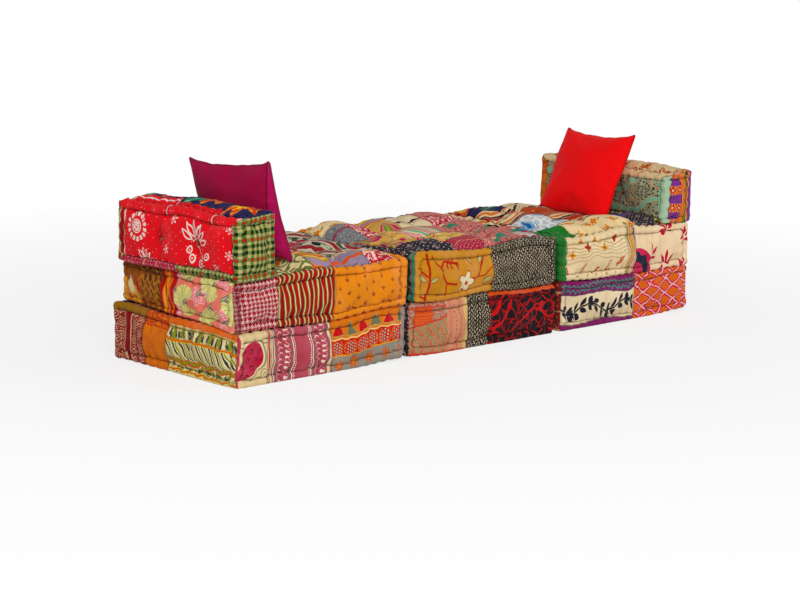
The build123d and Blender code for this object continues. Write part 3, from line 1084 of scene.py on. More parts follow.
@printed((242, 213, 172), drift=6)
def cream_sprig(c, u, v):
    red, navy = (196, 34, 64), (38, 42, 60)
    x, y = repeat(u - 18, v - 4, 108, 122, 0.30)
    sprig = branch(x, y, (-30, -26), (4, 8), 2.2)
    for right, up, length, width, angle in (
        (4, 22, 22, 7.5, 1.45), (24, 12, 20, 7, 0.75), (-16, 16, 19, 7, 2.2), (-22, -4, 19, 7, 0.25),
        (18, -12, 18, 6.4, 0.1), (-20, -24, 13, 5.6, 0.3),
    ):
        sprig = sprig + leaf(x - right, y - up, length, width, angle)
    c.dye(sprig.least(1) * u.above(78), red)
    reach_out = reach(u - 2, v + 4)
    c.dye(band(reach_out, 72, 96), (206, 52, 88))
    c.dye((reach_out + (u - 2).bearing(v + 4).wave(0.09) * 5).below(80), navy)
    c.dye(reach_out.below(52), (206, 52, 88))
    c.dye(disc(u - 26, v - 24, 9), navy)


@printed((234, 212, 172), drift=6)
def purple_vine(c, u, v):
    purple, teal, navy = (128, 36, 96), (34, 140, 124), (30, 34, 48)
    stem = v - 66 + u.wave(190) * 17
    for start in (54, 149, 244, 339):
        rise = 17 if start in (54, 244) else -17
        c.dye(blossom(u - start, v - 66 + rise, 17, 7, 0.25).below(1), navy)
    x = cell(u, 32)
    leaves = leaf(x, stem - 14, 16, 8, 0.7) + leaf(x, stem + 14, 16, 8, -0.7)
    c.dye((leaves + line(stem, 0, 3)).least(1), navy)
    wave_top = v + u.wave(260) * 5
    c.dye(wave_top.above(116), purple)
    c.dye(line(wave_top, 115, 1.8), (88, 70, 96))
    for middle in (126, 139, 152):
        c.dye(line(wave_top + u.wave(22) * 3.4, middle, 2.3), teal)
    c.dye((v + u.wave(300) * 4).below(15), purple)
    c.dye(line(v + u.wave(300) * 4, 16, 1.6), (120, 110, 90))


@printed((238, 184, 176), drift=10)
def orange_lattice(c, u, v):
    for shift_u, shift_v in ((0, 0), (44, 24)):
        x = ((u - shift_u) / 88).fraction() * 88 - 44
        y = ((v - shift_v) / 48).fraction() * 48 - 24
        level = x.size() / 44 + y.size() / 24 + (x / 44 * 3).wave(2) * 0.03
        c.dye(level.below(0.9), (206, 42, 82))
        c.dye(level.below(0.66), (228, 112, 38))
        c.dye(level.below(0.5) * stripes(v, 5, 0.3), (206, 84, 40))


@printed((44, 122, 52), drift=2)
def grass_green(c, u, v):
    c.dye(c.noise(14, 3, 2).above(0.58) * 0.5, (34, 96, 50))
    x, y = repeat(u, v, 46, 40)
    c.dye(leaf(x, y, 8, 2.4, 0.7) * c.noise(50, 4).above(0.5), (206, 70, 96))


@printed((128, 40, 38))
def brown_dots(c, u, v):
    x, y = repeat(u, v, 18, 18)
    c.dye(disc(x, y, 2.6), (206, 110, 60))
    c.dye(stripes(v, 60, 0.09) * 0.8, (214, 168, 120))


# %% [markdown]
# The bolsters: a red stitched cloth with white block prints, a green check at the end, dark
# cloth with big flowers over the top; and at the right mint paisley, woven purple blocks and
# cream with brown marks.

# %% Cloths of the bolsters
@printed((238, 18, 32), rows=7.5, thread=(150, 12, 26), drift=4)
def red_block(c, u, v):
    white = (242, 222, 212)
    sun = reach(u - 112, v - 118)
    angle = (u - 112).bearing(v - 118)
    c.dye(band(sun, 29, 42) * line((angle * 15).fraction(), 0.5, 0.30), white)
    c.dye(band(sun, 17, 20) + band(sun, 8, 10.5), white)
    c.dye(disc(u - 112, v - 118, 15) * c.cracks(6, 3).below(0.9), white)
    for root_x, root_y, size in ((392, 84, 1), (142, 14, 0.62)):
        for step in range(6):
            angle = 2.5 - step * 0.42
            x, y = root_x + 46 * size * math.cos(angle), root_y + 46 * size * math.sin(angle)
            petal = leaf(u - x, v - y, 25 * size, 9 * size, angle)
            c.dye(petal - petal * leaf(u - x, v - y, 17 * size, 4.8 * size, angle), white)
            x, y = root_x + 18 * size * math.cos(angle), root_y + 18 * size * math.sin(angle)
            c.dye(disc(u - x, v - y, 2.6), white)
        c.dye(branch(u, v, (root_x, root_y), (root_x + 44 * size, root_y - 30 * size), 2.2), white)
        for x, y in ((-26, -12), (-14, -34), (34, -44), (62, -22)):
            x, y = u - root_x - x * size, v - root_y - y * size
            c.dye(hoop(x, y, 9 * size, 2.2), white)
            c.dye(disc(x, y, 2.4), white)
    for x, y in ((262, 66), (504, 36), (560, 148), (296, 150), (228, 22), (560, 80)):
        c.dye(band(blossom(u - x, v - y, 13, 6, 0.35), 0.72, 1.05) + disc(u - x, v - y, 3), white)
    fan = reach(u - 360, v + 2)
    c.dye(band(fan, 12, 30) * stripes((u - 360).bearing(v + 2), 0.05, 0.55), white)
    c.dye(line(u - v.wave(60) * 1.5, 42, 2.2) + line(v + u.wave(200) * 4, 3, 1.6), white)
    spot_x, spot_y = repeat(u, v, 19, 23)
    c.dye(disc(spot_x, spot_y, 1) * c.noise(30, 6).above(0.45), white)


@printed((64, 74, 40), drift=2, crumple=0.7)
def green_check(c, u, v):
    pitch = 18.2
    across, up = stripes(u, pitch, 0.44), stripes(v, pitch, 0.44)
    c.dye(across.most(up), (112, 138, 62))
    c.dye(stripes(u, 3.2, 0.3) * (1 - across * up), (80, 104, 46))
    c.dye(across * up, (192, 166, 120))
    x, y = ((u / pitch).fraction() - 0.75) * pitch, ((v / pitch).fraction() - 0.75) * pitch
    c.dye(disc(x, y, 5.2), (22, 34, 22))
    c.dye(disc(x, y, 4.6) * (v / pitch / 3).fraction().below(0.34), (186, 34, 24))


@printed((38, 36, 76), drift=12)
def navy_flower(c, u, v):
    teal = (30, 120, 96)
    u, v = (u + 20) * 0.62, (v + 20) * 0.62
    x, y = repeat(u, v, 118, 150, 0.42)
    flower = blossom(x, y, 46, 7, 0.2)
    c.dye(leaf(x - 44, y - 40, 32, 10, 0.6) + leaf(x + 42, y - 46, 32, 10, 2.2), teal)
    c.dye(leaf(x - 44, y - 40, 26, 1.5, 0.6) + leaf(x + 42, y - 46, 26, 1.5, 2.2), (150, 200, 150))
    c.dye(flower.below(1), (214, 62, 20))
    c.dye(flower.below(1) * stripes(x.bearing(y) + reach(x, y) * 0.004, 0.0715, 0.36), (234, 150, 40))
    c.layers(flower, (0.42, (240, 190, 60)), (0.16, (150, 26, 30)))
    x, y = repeat(u - 59, v - 40, 118, 150, 0.42)
    c.dye(hoop(x, y, 12, 2.5) + disc(x, y, 5), (206, 34, 48))


@printed((84, 70, 50), drift=10)
def mint_paisley(c, u, v):
    mint, tan = (124, 176, 142), (196, 146, 104)
    scribble = c.cracks(10, 2)
    c.dye(scribble.below(1.5), (150, 156, 124))
    x, y = repeat(u, v, 15, 15)
    c.dye(disc(x, y, 3) * c.noise(30, 7).above(0.47), (32, 28, 30))
    c.dye(disc(x - 5, y - 5, 2) * c.noise(30, 9).above(0.5), tan)
    x, y = repeat(u - 20, v, 120, 116, 0.5)
    inner = drop(x, y + 12, 26, 60, 0.005)
    c.dye(band(inner, 1, 1.22), tan)
    c.dye(band(inner, 0.72, 0.84), mint)
    slope = v - u * 0.26 + (u + v).wave(230) * 16
    c.striped(slope, 84, (0.25, 10, tan), (0.19, 12.5, mint))
    c.dye(u.above(566) * 0.85, (148, 200, 160))


@printed((196, 44, 40), drift=3)
def purple_geometric(c, u, v):
    purple, cream = (124, 62, 140), (230, 204, 150)
    fan = stripes(u + (v / 62).fraction() * 10, 9.5, 0.3)
    c.dye(fan, (232, 150, 60))
    c.dye(stripes(u, 9.5, 0.12, 6), cream)
    block = line((v / 62).fraction(), 0.5, 0.26)
    c.dye(block * u.below(78), purple)
    c.dye(block * u.below(78) * stripes(v, 12, 0.16) * stripes(u, 24, 0.6), (92, 40, 112))
    x, y = cell(u, 26), ((v / 62 + 0.5).fraction() - 0.5) * 62
    c.dye((x.size() / 9 + y.size() / 11).below(1) * u.below(80), (204, 40, 44))
    c.dye((x.size() / 4 + y.size() / 5).below(1) * u.below(80), cream)
    c.dye(band(u, 84, 100), (226, 118, 44))
    c.dye(band(u, 100, 116), (110, 128, 46))
    c.dye(band(u, 108, 118) * stripes(v, 22, 0.5), (30, 40, 36))
    c.dye(band(u, 118, 128) * stripes(v, 30, 0.6), (224, 84, 44))
    c.dye(u.above(134), (118, 66, 136))
    c.dye(u.below(24), (166, 196, 162))
    c.dye(line(u, 25, 1.6), (198, 38, 46))


@printed((218, 190, 144), drift=9)
def cream_motif(c, u, v):
    rust = (176, 84, 42)
    x, y = repeat(u, v, 76, 96, 0.44)
    c.dye(leaf(x, y, 24, 7.5, 0.5) + leaf(x - 10, y + 17, 20, 6, -0.5), rust)
    c.dye(hoop(x + 14, y - 20, 9, 2.2), rust)
    c.dye(leaf(x, y, 18, 1.4, 0.5), (236, 206, 150))
    x, y = repeat(u, v, 21, 24)
    c.dye(disc(x, y, 1.9), (150, 128, 84))
    c.dye(stripes(v + u.wave(90) * 5, 120, 0.04), (196, 96, 52))


# %% [markdown]
# The tops are pieced from smaller scraps. Those are drawn with fewer dyes, since each is only a
# hand's breadth wide.

# %% Cloths of the tops
@printed((104, 122, 62), drift=6)
def green_contour(c, u, v):
    swirl = c.noise(64, 3) * 9 + u / 60
    c.dye(swirl.fraction().below(0.5), (226, 206, 150))
    c.dye(line(swirl.fraction(), 0.5, 0.05), (70, 60, 30))


@printed((226, 136, 52), drift=6)
def orange_stripe(c, u, v):
    bow = v + u.wave(420) * 26
    c.striped(bow, 58, (0.30, 0, (168, 150, 48)), (0.16, 20, (236, 196, 96)), (0.08, 34, (190, 60, 36)))
    c.dye(stripes(bow, 116, 0.2, 44), (160, 132, 160))


@printed((150, 132, 154), drift=8)
def lilac_band(c, u, v):
    c.dye(line(v - u * 0.2 + u.wave(90) * 6, 88, 5), (228, 190, 130))
    c.dye(stripes(v - u * 0.2, 74, 0.18, 30), (216, 92, 50))
    x, y = repeat(u, v, 28, 30)
    c.dye(leaf(x, y, 8, 2, 0.6) * 0.8, (112, 92, 130))


@printed((200, 42, 62), drift=8)
def red_speckle(c, u, v):
    c.dye(c.noise(9, 3, 2).above(0.53), (240, 210, 200))
    c.dye(c.noise(30, 6).above(0.6), (176, 26, 44))
    c.dye(stripes(v, 80, 0.1, 60), (232, 190, 150))


@printed((196, 186, 160), drift=8)
def black_white_band(c, u, v):
    fan = reach(u + 60, v + 30)
    ink = (34, 36, 34)
    c.dye(stripes(fan, 60, 0.32), (150, 34, 44))
    c.dye(stripes(fan, 60, 0.30, 26) * stripes((u + 60).bearing(v + 30), 0.035, 0.5), ink)
    c.dye(stripes(fan, 60, 0.04, 20) + stripes(fan, 60, 0.04, 46), ink)
    x = ((fan / 60).fraction() - 0.68) * 60
    y = (((u + 60).bearing(v + 30) / 0.06).fraction() - 0.5) * 26
    c.dye(hoop(x, y, 6, 1.6), (92, 110, 70))


@printed((176, 26, 62), rows=8)
def crimson_dots(c, u, v):
    x, y = repeat(u, v, 11, 11)
    c.dye(disc(x, y, 1.5), (236, 180, 176))
    c.dye(stripes(v + u.wave(110) * 4, 66, 0.05), (226, 150, 110))


@printed((150, 138, 82), drift=10)
def olive_floral(c, u, v):
    x, y = repeat(u, v, 74, 66, 0.5)
    flower = blossom(x, y, 21, 5, 0.3)
    c.dye(leaf(x - 25, y + 9, 18, 6, 0.5) + leaf(x + 24, y - 7, 18, 6, 0.9), (92, 104, 58))
    c.layers(flower, (1, (216, 92, 108)), (0.45, (240, 206, 160)))
    c.dye(line(c.noise(30, 6), 0.5, 0.02), (96, 60, 40))
    c.dye(c.noise(60, 9).above(0.6) * flower.above(1.1), (204, 176, 110))


@printed((226, 226, 218), drift=7)
def blue_paisley(c, u, v):
    blue, sky = (40, 92, 152), (122, 176, 206)
    x, y = repeat(u - 20, v - 22, 104, 120, 0.4)
    level = drop(x, y, 34, 66, 0.006)
    c.dye(level.below(1.1), blue)
    c.dye(band(level, 0.72, 0.98), (226, 230, 226))
    c.layers(level, (0.62, sky), (0.3, blue))
    x, y = repeat(u, v, 26, 26)
    c.dye(hoop(x, y, 7, 1.6) * level.above(1.2), sky)
    c.dye(disc(x, y, 2.4) * level.above(1.2), (196, 56, 66))


@printed((226, 206, 164), drift=9)
def cream_leaf(c, u, v):
    ink = (44, 40, 38)
    x, y = repeat(u, v, 92, 72, 0.5)
    for angle, place in ((0.4, -22), (2.6, 6), (0.5, 30)):
        c.dye(leaf(x - place, y, 22, 7, angle), ink)
    c.dye(line(y + x.wave(80) * 6, -16, 1.7), (190, 44, 52))
    x, y = repeat(u - 46, v - 36, 92, 72, 0.5)
    c.dye(blossom(x, y, 14, 6, 0.3).below(1), (206, 52, 70))
    c.dye(disc(x, y, 4), (240, 196, 120))


@printed((228, 180, 82), drift=8)
def yellow_floral(c, u, v):
    x, y = repeat(u, v, 46, 44, 0.5)
    flower = blossom(x, y, 13, 5, 0.32)
    c.layers(flower, (1, (196, 40, 84)), (0.4, (244, 214, 140)))
    c.dye(leaf(x - 16, y - 8, 10, 3.4, 0.7) + leaf(x + 15, y + 8, 10, 3.4, 2.4), (122, 136, 58))
    c.dye(stripes(u + v * 0.4, 90, 0.1), (236, 208, 160))


@printed((206, 158, 84), drift=10)
def magenta_paisley(c, u, v):
    x, y = repeat(u - 10, v - 10, 120, 116, 0.4)
    level = drop(x, y, 36, 66, 0.006)
    c.dye(band(level, 0.96, 1.3), (178, 32, 92))
    c.layers(level, (0.96, (226, 112, 118)), (0.6, (150, 160, 66)))
    c.dye(band(level, 0.3, 0.42), (90, 40, 50))
    dot_x, dot_y = repeat(u, v, 16, 16)
    c.dye(disc(dot_x, dot_y, 2.6) * level.above(1.35), (150, 150, 60))


@printed((232, 206, 178), drift=4)
def mint_stripe(c, u, v):
    bow = u + v.wave(500) * 22
    c.striped(bow, 62, (0.2, 2, (106, 178, 136)), (0.14, 19, (222, 110, 112)), (0.08, 32, (44, 120, 90)),
              (0.16, 40, (232, 160, 140)), (0.05, 52, (190, 60, 70)))


@printed((203, 120, 110), drift=8)
def dusty_rose(c, u, v):
    c.dye(c.noise(7, 3, 2).above(0.54) * 0.7, (232, 162, 146))
    c.dye(c.cracks(14, 5).below(1.1) * 0.8, (158, 62, 66))
    x, y = repeat(u - 30, v - 20, 150, 118, 0.5)
    leaves = leaf(x, y, 44, 13, 0.35) + leaf(x - 24, y + 12, 30, 9, 1.5)
    c.dye(leaves + leaf(x + 20, y + 10, 30, 9, 2.3), (58, 132, 104))
    c.dye(disc(x + 6, y - 6, 9), (240, 176, 140))


@printed((216, 190, 176), drift=4)
def twisted_border(c, u, v):
    slope = u + v * 0.7
    edge = band(u, 34, 64)
    c.dye(edge, (40, 160, 170))
    c.striped(slope, 40, (0.36, 0, (206, 38, 96)), (0.1, 17, (30, 40, 60)), within=edge)
    c.dye(line(u, 33, 2) + line(u, 66, 2.4), (50, 60, 66))
    c.dye(stripes(u + v.wave(40) * 3, 12, 0.3) * u.below(30), (172, 148, 158))


@printed((236, 208, 156), drift=6)
def marigold_flowers(c, u, v):
    x, y = repeat(u, v, 66, 62, 0.5)
    flower = blossom(x, y, 17, 6, 0.24)
    c.layers(flower, (1, (228, 140, 40)), (0.5, (196, 66, 30)), (0.2, (244, 206, 110)))
    c.dye(leaf(x - 21, y + 4, 11, 3.6, 0.3) + leaf(x + 21, y - 6, 11, 3.6, 2.7), (122, 124, 62))
    c.dye(line(v, 132, 2.4) + line(v, 142, 1.2), (40, 34, 34))


@printed((92, 88, 150), drift=4)
def violet_plain(c, u, v):
    c.dye(c.noise(12, 3, 2).above(0.56) * 0.5, (66, 62, 124))
    c.dye(stripes(v, 88, 0.05), (190, 60, 70))


@printed((124, 126, 128), drift=6)
def slate_plain(c, u, v):
    c.dye(c.noise(20, 3, 2).above(0.55) * 0.5, (90, 96, 100))
    x, y = repeat(u, v, 21, 19)
    c.dye(leaf(x, y, 6, 2, 0.6), (176, 168, 152))
    c.dye(line(v + u.wave(150) * 8, 96, 5), (150, 62, 84))


@printed((228, 200, 158), drift=8)
def black_red_band(c, u, v):
    fan = v + u.wave(380) * 30
    c.striped(fan, 96, (0.34, 0, (172, 52, 34)), (0.09, 34, (30, 26, 26)), (0.12, 52, (214, 120, 54)),
              (0.05, 76, (100, 124, 84)))
    x = cell(u, 34)
    c.dye(hoop(x, ((fan / 96).fraction() - 0.86) * 96, 7, 1.6), (196, 92, 44))


@printed((184, 74, 40), rows=9)
def rust_plain(c, u, v):
    c.dye(c.noise(40, 4, 2).above(0.56) * 0.55, (150, 50, 34))
    x, y = repeat(u, v, 40, 40)
    c.dye(leaf(x, y, 6, 1.8, 0.8) + leaf(x, y, 6, 1.8, 2.4), (228, 168, 96))


node_count = sum(len(item.node_tree.nodes) for item in CLOTHS.values())
print(len(CLOTHS), "cloths,", node_count, "nodes in all")


# %% [markdown]
# With the plan, a cover can be dressed. Each face of the grid looks up its patch by where its
# middle lies on the flat box, takes that patch's cloth as its material, and gets UV coordinates
# in metres from the patch's own lower left corner, so a print starts where its patch does. The
# faces of a tufted side that lie on the roll belong to the border that wraps over them. A
# point where two patches meet is marked as a seam, and sinks a little.

# %% Dress a cover in patches
SEAM_DEPTH = 0.0011


def face_patches(flat, size, corners, plans, tufted):
    """The cloth and the UV place of each corner of every face, and a number for its patch."""
    half = np.array(size) / 2
    middles = flat[corners].mean(axis=1)
    cloths, places, numbers = [], np.zeros((len(corners), 4, 2)), []
    known = {}
    for face, middle in enumerate(middles):
        rims = {name: half[other] - way * middle[other] for name, (other, way) in AXES.items()}
        side = min(rims, key=lambda name: abs(rims[name]))
        points = flat[corners[face]].copy()
        if side in tufted:
            axis, sign = AXES[side]
            nearest = min((name for name in AXES if AXES[name][0] != axis), key=rims.get)
            if rims[nearest] < GROOVE_REACH:
                other, way = AXES[nearest]
                points[:, axis] = sign * (half[axis] + half[other] - way * points[:, other])
                points[:, other] = way * half[other]
                side = nearest
        across, up = side_coordinates(points, half, side)
        cloth, left, low = find_patch(plans[side], across.mean(), up.mean())
        key = (side, cloth, round(left, 4), round(low, 4))
        numbers.append(known.setdefault(key, len(known)))
        cloths.append(cloth)
        places[face, :, 0] = across - left
        places[face, :, 1] = up - low
    return cloths, places, np.array(numbers)


def keep_number(mesh, name, values):
    """Store one number at every point of a mesh, for its materials to read."""
    mesh.attributes.new(name, "FLOAT", "POINT").data.foreach_set("value", values)


def dress(mesh, flat, size, plans, tufted):
    """Give every face its cloth and its place on the patch, and mark the seams."""
    corners = read_numbers(mesh.loops, "vertex_index", 1, int).reshape(-1, 4)
    cloths, places, numbers = face_patches(flat, size, corners, plans, tufted)
    names = sorted(set(cloths))
    for name in names:
        mesh.materials.append(CLOTHS[name])
    mesh.polygons.foreach_set("material_index", [names.index(cloth) for cloth in cloths])
    mesh.uv_layers.new(name="patch").data.foreach_set("uv", places.ravel())
    lowest = np.full(len(flat), len(numbers))
    highest = np.zeros(len(flat), dtype=int)
    for corner in range(4):
        np.minimum.at(lowest, corners[:, corner], numbers)
        np.maximum.at(highest, corners[:, corner], numbers)
    seam = (lowest != highest).astype(float)
    # The seam points, where the cloths paint shade.
    keep_number(mesh, "seam", seam)
    return seam


# %% [markdown]
# The rules above place the sewing, but not the wrinkles that a full cushion gets between its
# stitches. Those are best left to a cloth simulation. The cover itself is too fine to simulate
# eight times, so a coarse copy of the box is inflated with pressure while its rolls and tufts
# are held. The cloth of that copy is cut a little larger than the box, so it swells, folds
# towards the stitches and fans out from the tufts. Gravity is off, and the same start always
# gives the same end.

# %% Inflate a coarse cover
CLOTH_FRAMES = 18
CLOTH_SLACK = 0.09
CLOTH_PRESSURE = 3.2
TUFT_HOLD = 0.013


def inflated(mesh, held, pressure, slack, frames):
    """Where the points of a mesh go when it is blown up as cloth with some points held."""
    piece = add_object("inflating", mesh)
    hold = piece.vertex_groups.new(name="held")
    hold.add([int(index) for index in np.flatnonzero(held)], 1.0, "REPLACE")
    modifier = piece.modifiers.new("cloth", "CLOTH")
    cloth = modifier.settings
    cloth.quality = 6
    cloth.mass = 0.3
    cloth.air_damping = 3.0
    cloth.tension_stiffness = cloth.compression_stiffness = 18.0
    cloth.shear_stiffness = 6.0
    cloth.bending_stiffness = 0.35
    cloth.tension_damping = cloth.compression_damping = 12.0
    cloth.use_pressure = True
    cloth.uniform_pressure_force = pressure
    cloth.shrink_min = -slack
    cloth.effector_weights.gravity = 0.0
    if held.any():
        cloth.vertex_group_mass = "held"
    modifier.collision_settings.use_collision = False
    modifier.point_cache.frame_start = 1
    modifier.point_cache.frame_end = frames
    for number in range(1, frames + 1):
        scene.frame_set(number)
    graph = bpy.context.evaluated_depsgraph_get()
    points = read_numbers(piece.evaluated_get(graph).to_mesh().vertices, "co", 3)
    piece.evaluated_get(graph).to_mesh_clear()
    bpy.data.objects.remove(piece)
    scene.frame_set(1)
    return points


# %% [markdown]
# The fine cover takes its wrinkles from the coarse one. Both are grids on the same box, so a
# point of the fine grid can be looked up between the points of the coarse grid. Smooth cubic
# steps between them keep the wrinkles round. How far a point may move is capped, because the
# cushion has to stay in the space of its solids, and a pressed side doesn't move at all.

# %% Wrinkles from the coarse cover
def cubic(first, second, third, fourth, share):
    """A smooth step from the second value to the third."""
    square = 2 * first - 5 * second + 4 * third - fourth
    cube = 3 * second - first - 3 * third + fourth
    return 0.5 * (2 * second + (third - first) * share + square * share ** 2 + cube * share ** 3)


def looked_up(grid, index_a, index_b):
    """Values of a grid at places between its points."""
    low_a = np.clip(np.floor(index_a).astype(int), 0, grid.shape[0] - 2)
    low_b = np.clip(np.floor(index_b).astype(int), 0, grid.shape[1] - 2)
    share_a, share_b = (index_a - low_a)[:, None], (index_b - low_b)[:, None]
    rows = []
    for step in (-1, 0, 1, 2):
        row = np.clip(low_a + step, 0, grid.shape[0] - 1)
        cells = [grid[row, np.clip(low_b + other, 0, grid.shape[1] - 1)] for other in (-1, 0, 1, 2)]
        rows.append(cubic(*cells, share_b))
    return cubic(*rows, share_a)


def wrinkles(size, panels, seed, caps):
    """The moves of a coarse cover's points when it is inflated, side by side."""
    mesh, flat = gridded_box(size, PROXY_STEPS, PROXY_STEP)
    half = np.array(size) / 2
    start = shaped(flat, size, panels, seed)
    set_points(mesh, start)
    distance = np.sort(half - np.abs(flat), axis=1)
    held = distance[:, 1] < GROOVE_REACH + 0.001
    for side, panel in panels.items():
        _, _, first, second, on_side = side_parts(flat, half, side)
        for tuft_x, tuft_y in panel.get("tufts", []):
            held |= on_side & (np.hypot(flat[:, first] - tuft_x, flat[:, second] - tuft_y) < TUFT_HOLD)
        if "pressed" in panel:
            held |= on_side & (panel["pressed"](flat) > 0.4)
    moves = inflated(mesh, held, CLOTH_PRESSURE, CLOTH_SLACK, CLOTH_FRAMES) - start
    moves[held] = 0
    length = np.linalg.norm(moves, axis=1)[:, None]
    grids = {}
    for side in AXES:
        _, _, first, second, on_side = side_parts(flat, half, side)
        cap = caps.get(side, caps["border"])
        places_a, row = np.unique(np.round(flat[on_side, first], 6), return_inverse=True)
        places_b, column = np.unique(np.round(flat[on_side, second], 6), return_inverse=True)
        grid = np.zeros((len(places_a), len(places_b), 3))
        grid[row, column] = (moves * cap * np.tanh(length / cap) / np.maximum(length, 1e-9))[on_side]
        grids[side] = (places_a, places_b, grid)
    print("inflated", len(flat), "points, largest move", round(float(length.max()) * 1000, 1), "mm")
    bpy.data.meshes.remove(mesh)
    return grids


def wrinkled(flat, size, grids, mirror):
    """The moves for the points of a fine cover, looked up in the coarse one's."""
    half = np.array(size) / 2
    moves = np.zeros((len(flat), 3))
    if not grids:
        return moves
    mirror = np.array(mirror)
    seen = flat * mirror
    for side in AXES:
        _, _, first, second, on_side = side_parts(seen, half, side)
        places_a, places_b, grid = grids[side]
        index_a = np.interp(seen[on_side, first], places_a, np.arange(len(places_a)))
        index_b = np.interp(seen[on_side, second], places_b, np.arange(len(places_b)))
        moves[on_side] = looked_up(grid, index_a, index_b)
    return moves * mirror


# %% [markdown]
# One function makes a whole cushion: grid, shape, lie, patches and smooth shading. The mesh is
# placed where the CAD's border for that cushion is, and the new piece replaces the soft solids.

# %% Make a cushion
def border_middle(cushion):
    """The middle of a cushion's border in the CAD model."""
    low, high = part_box(f"{cushion}_border")
    return (low + high) / 2


ROLL_PROUD = 0.0045
FLOOR_PRESS, FLOOR_REACH, FLOOR_GAP = 0.008, 0.014, 0.0005
LOFT = 1.03
tuft_spots = {}


def make_cushion(
    name, size, place, turn, layers, panels, plans, tufted, seed, moves, replaced, grids, mirror
):
    """A patchwork cushion as one closed mesh that rides on its body."""
    mesh, flat = gridded_box(size)
    half = np.array(size) / 2
    points = shaped(flat, size, panels, seed) + wrinkled(flat, size, grids, mirror)
    points += corner_pull(flat, half, moves)
    calm = 1 - smooth(0.35, 0.5, np.abs(flat[:, 2]) / size[2])[:, None]
    points += SLACK_WAVE * vector_wave(flat, SLACK_SCALE, seed) * (0.35 + 0.65 * calm)
    points += FINE_WAVE * vector_wave(flat, FINE_SCALE, seed + 3) * (0.3 + 0.7 * calm)
    turned = np.array(Matrix.Rotation(turn, 3, "Z"))
    points = points @ turned.T + np.array(place)
    share = (flat[:, 2] + half[2]) / size[2]
    points[:, 2] += layer_wave(points, layers[0]) * (1 - share) + layer_wave(points, layers[1]) * share
    outward = np.sign(flat) * smooth(0.012, 0.0, half - np.abs(flat))
    points[:, :2] += ROLL_PROUD * (outward[:, :2] @ turned[:2, :2].T)
    points[:, 2] *= LOFT
    if layers[0] == 0:
        points[:, 2] -= FLOOR_PRESS * np.exp(-points[:, 2] / FLOOR_REACH)
        points[:, 2] = np.maximum(points[:, 2], FLOOR_GAP)
    seam = dress(mesh, flat, size, plans, tufted)
    # How deep in the grooves and tufts each point lies, for the painted shade there.
    keep_number(mesh, "groove", groove_shade(flat, half, panels))
    set_points(mesh, points)
    normals = read_numbers(mesh.vertex_normals, "vector", 3)
    points -= normals * seam[:, None] * SEAM_DEPTH
    set_points(mesh, points)
    mesh.shade_smooth()
    for side, panel in panels.items():
        axis, sign, first, second, _ = side_parts(flat, half, side)
        for tuft in panel.get("tufts", []):
            spot = np.zeros(3)
            spot[axis], spot[first], spot[second] = sign * half[axis], *tuft
            nearest = int(np.argmin(np.linalg.norm(flat - spot, axis=1)))
            tuft_spots.setdefault(name, []).append((Vector(points[nearest]), Vector(normals[nearest])))
    cover = add_object(f"{name}_cover", mesh)
    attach(cover, name)
    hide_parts(*[f"{name}_{piece}" for piece in replaced])
    print(name, "points", len(points), "box", np.round(points.min(0), 3), np.round(points.max(0), 3))
    return cover


# %% [markdown]
# Here are the plans, read off the photograph for the sides that it shows. The back, the right
# ends and the undersides are not in it, so they take the same cloths in another order, as the
# makers would, who sew such covers from whatever pieces are at hand.
#
# Each line is one row of patches of a side, from the bottom row up: how high the row reaches,
# and then each patch with the place where it ends, in millimetres. 1000 is past the far edge.

# %% How a plan is read
PLANS = {}


def read_plan(text):
    """The sides of a cushion from lines of text."""
    plan = {}
    for text_row in text.split("\n")[1:-1]:
        head, patches = text_row.split(": ")
        side, height = head.split()
        row = [patch.split() for patch in patches.split(", ")]
        row = [(int(end) / 1000, cloth) for end, cloth in row]
        plan.setdefault(side, []).append((int(height) / 1000, row))
    return plan


# %% Plans of the left stack
PLANS["left_lower_mattress"] = read_plan("""
left 1000: 172 red_scroll, 281 kantha_orange, 606 olive_chevron
front 1000: 141 cream_paisley, 382 pink_lace, 700 orange_banded
right 1000: 220 mustard_branch, 430 black_dots, 606 rust_plain
back 1000: 200 red_block, 450 purple_vine, 700 navy_flower
top 320: 360 rust_plain, 700 olive_chevron
top 1000: 280 pink_lace, 700 kantha_orange
bottom 1000: 360 rust_plain, 700 kantha_orange
""")
PLANS["left_upper_mattress"] = read_plan("""
left 1000: 224 ikat_petal, 306 red_orange_stripe, 606 coral_fan
front 1000: 168 crimson_houndstooth, 393 red_lime_stripe, 700 marigold_sprig
right 1000: 250 marigold_sprig, 450 crimson_houndstooth, 606 teal_plain
back 1000: 240 dusty_rose, 460 cream_sprig, 700 basket_weave
top 110: 330 green_contour, 410 orange_stripe, 570 lilac_band, 700 red_speckle
top 310: 160 green_contour, 380 orange_stripe, 700 black_white_band
top 450: 160 coral_fan, 520 crimson_dots, 700 black_white_band
top 1000: 300 blue_paisley, 520 rust_plain, 700 cream_leaf
bottom 1000: 360 rust_plain, 700 dusty_rose
""")

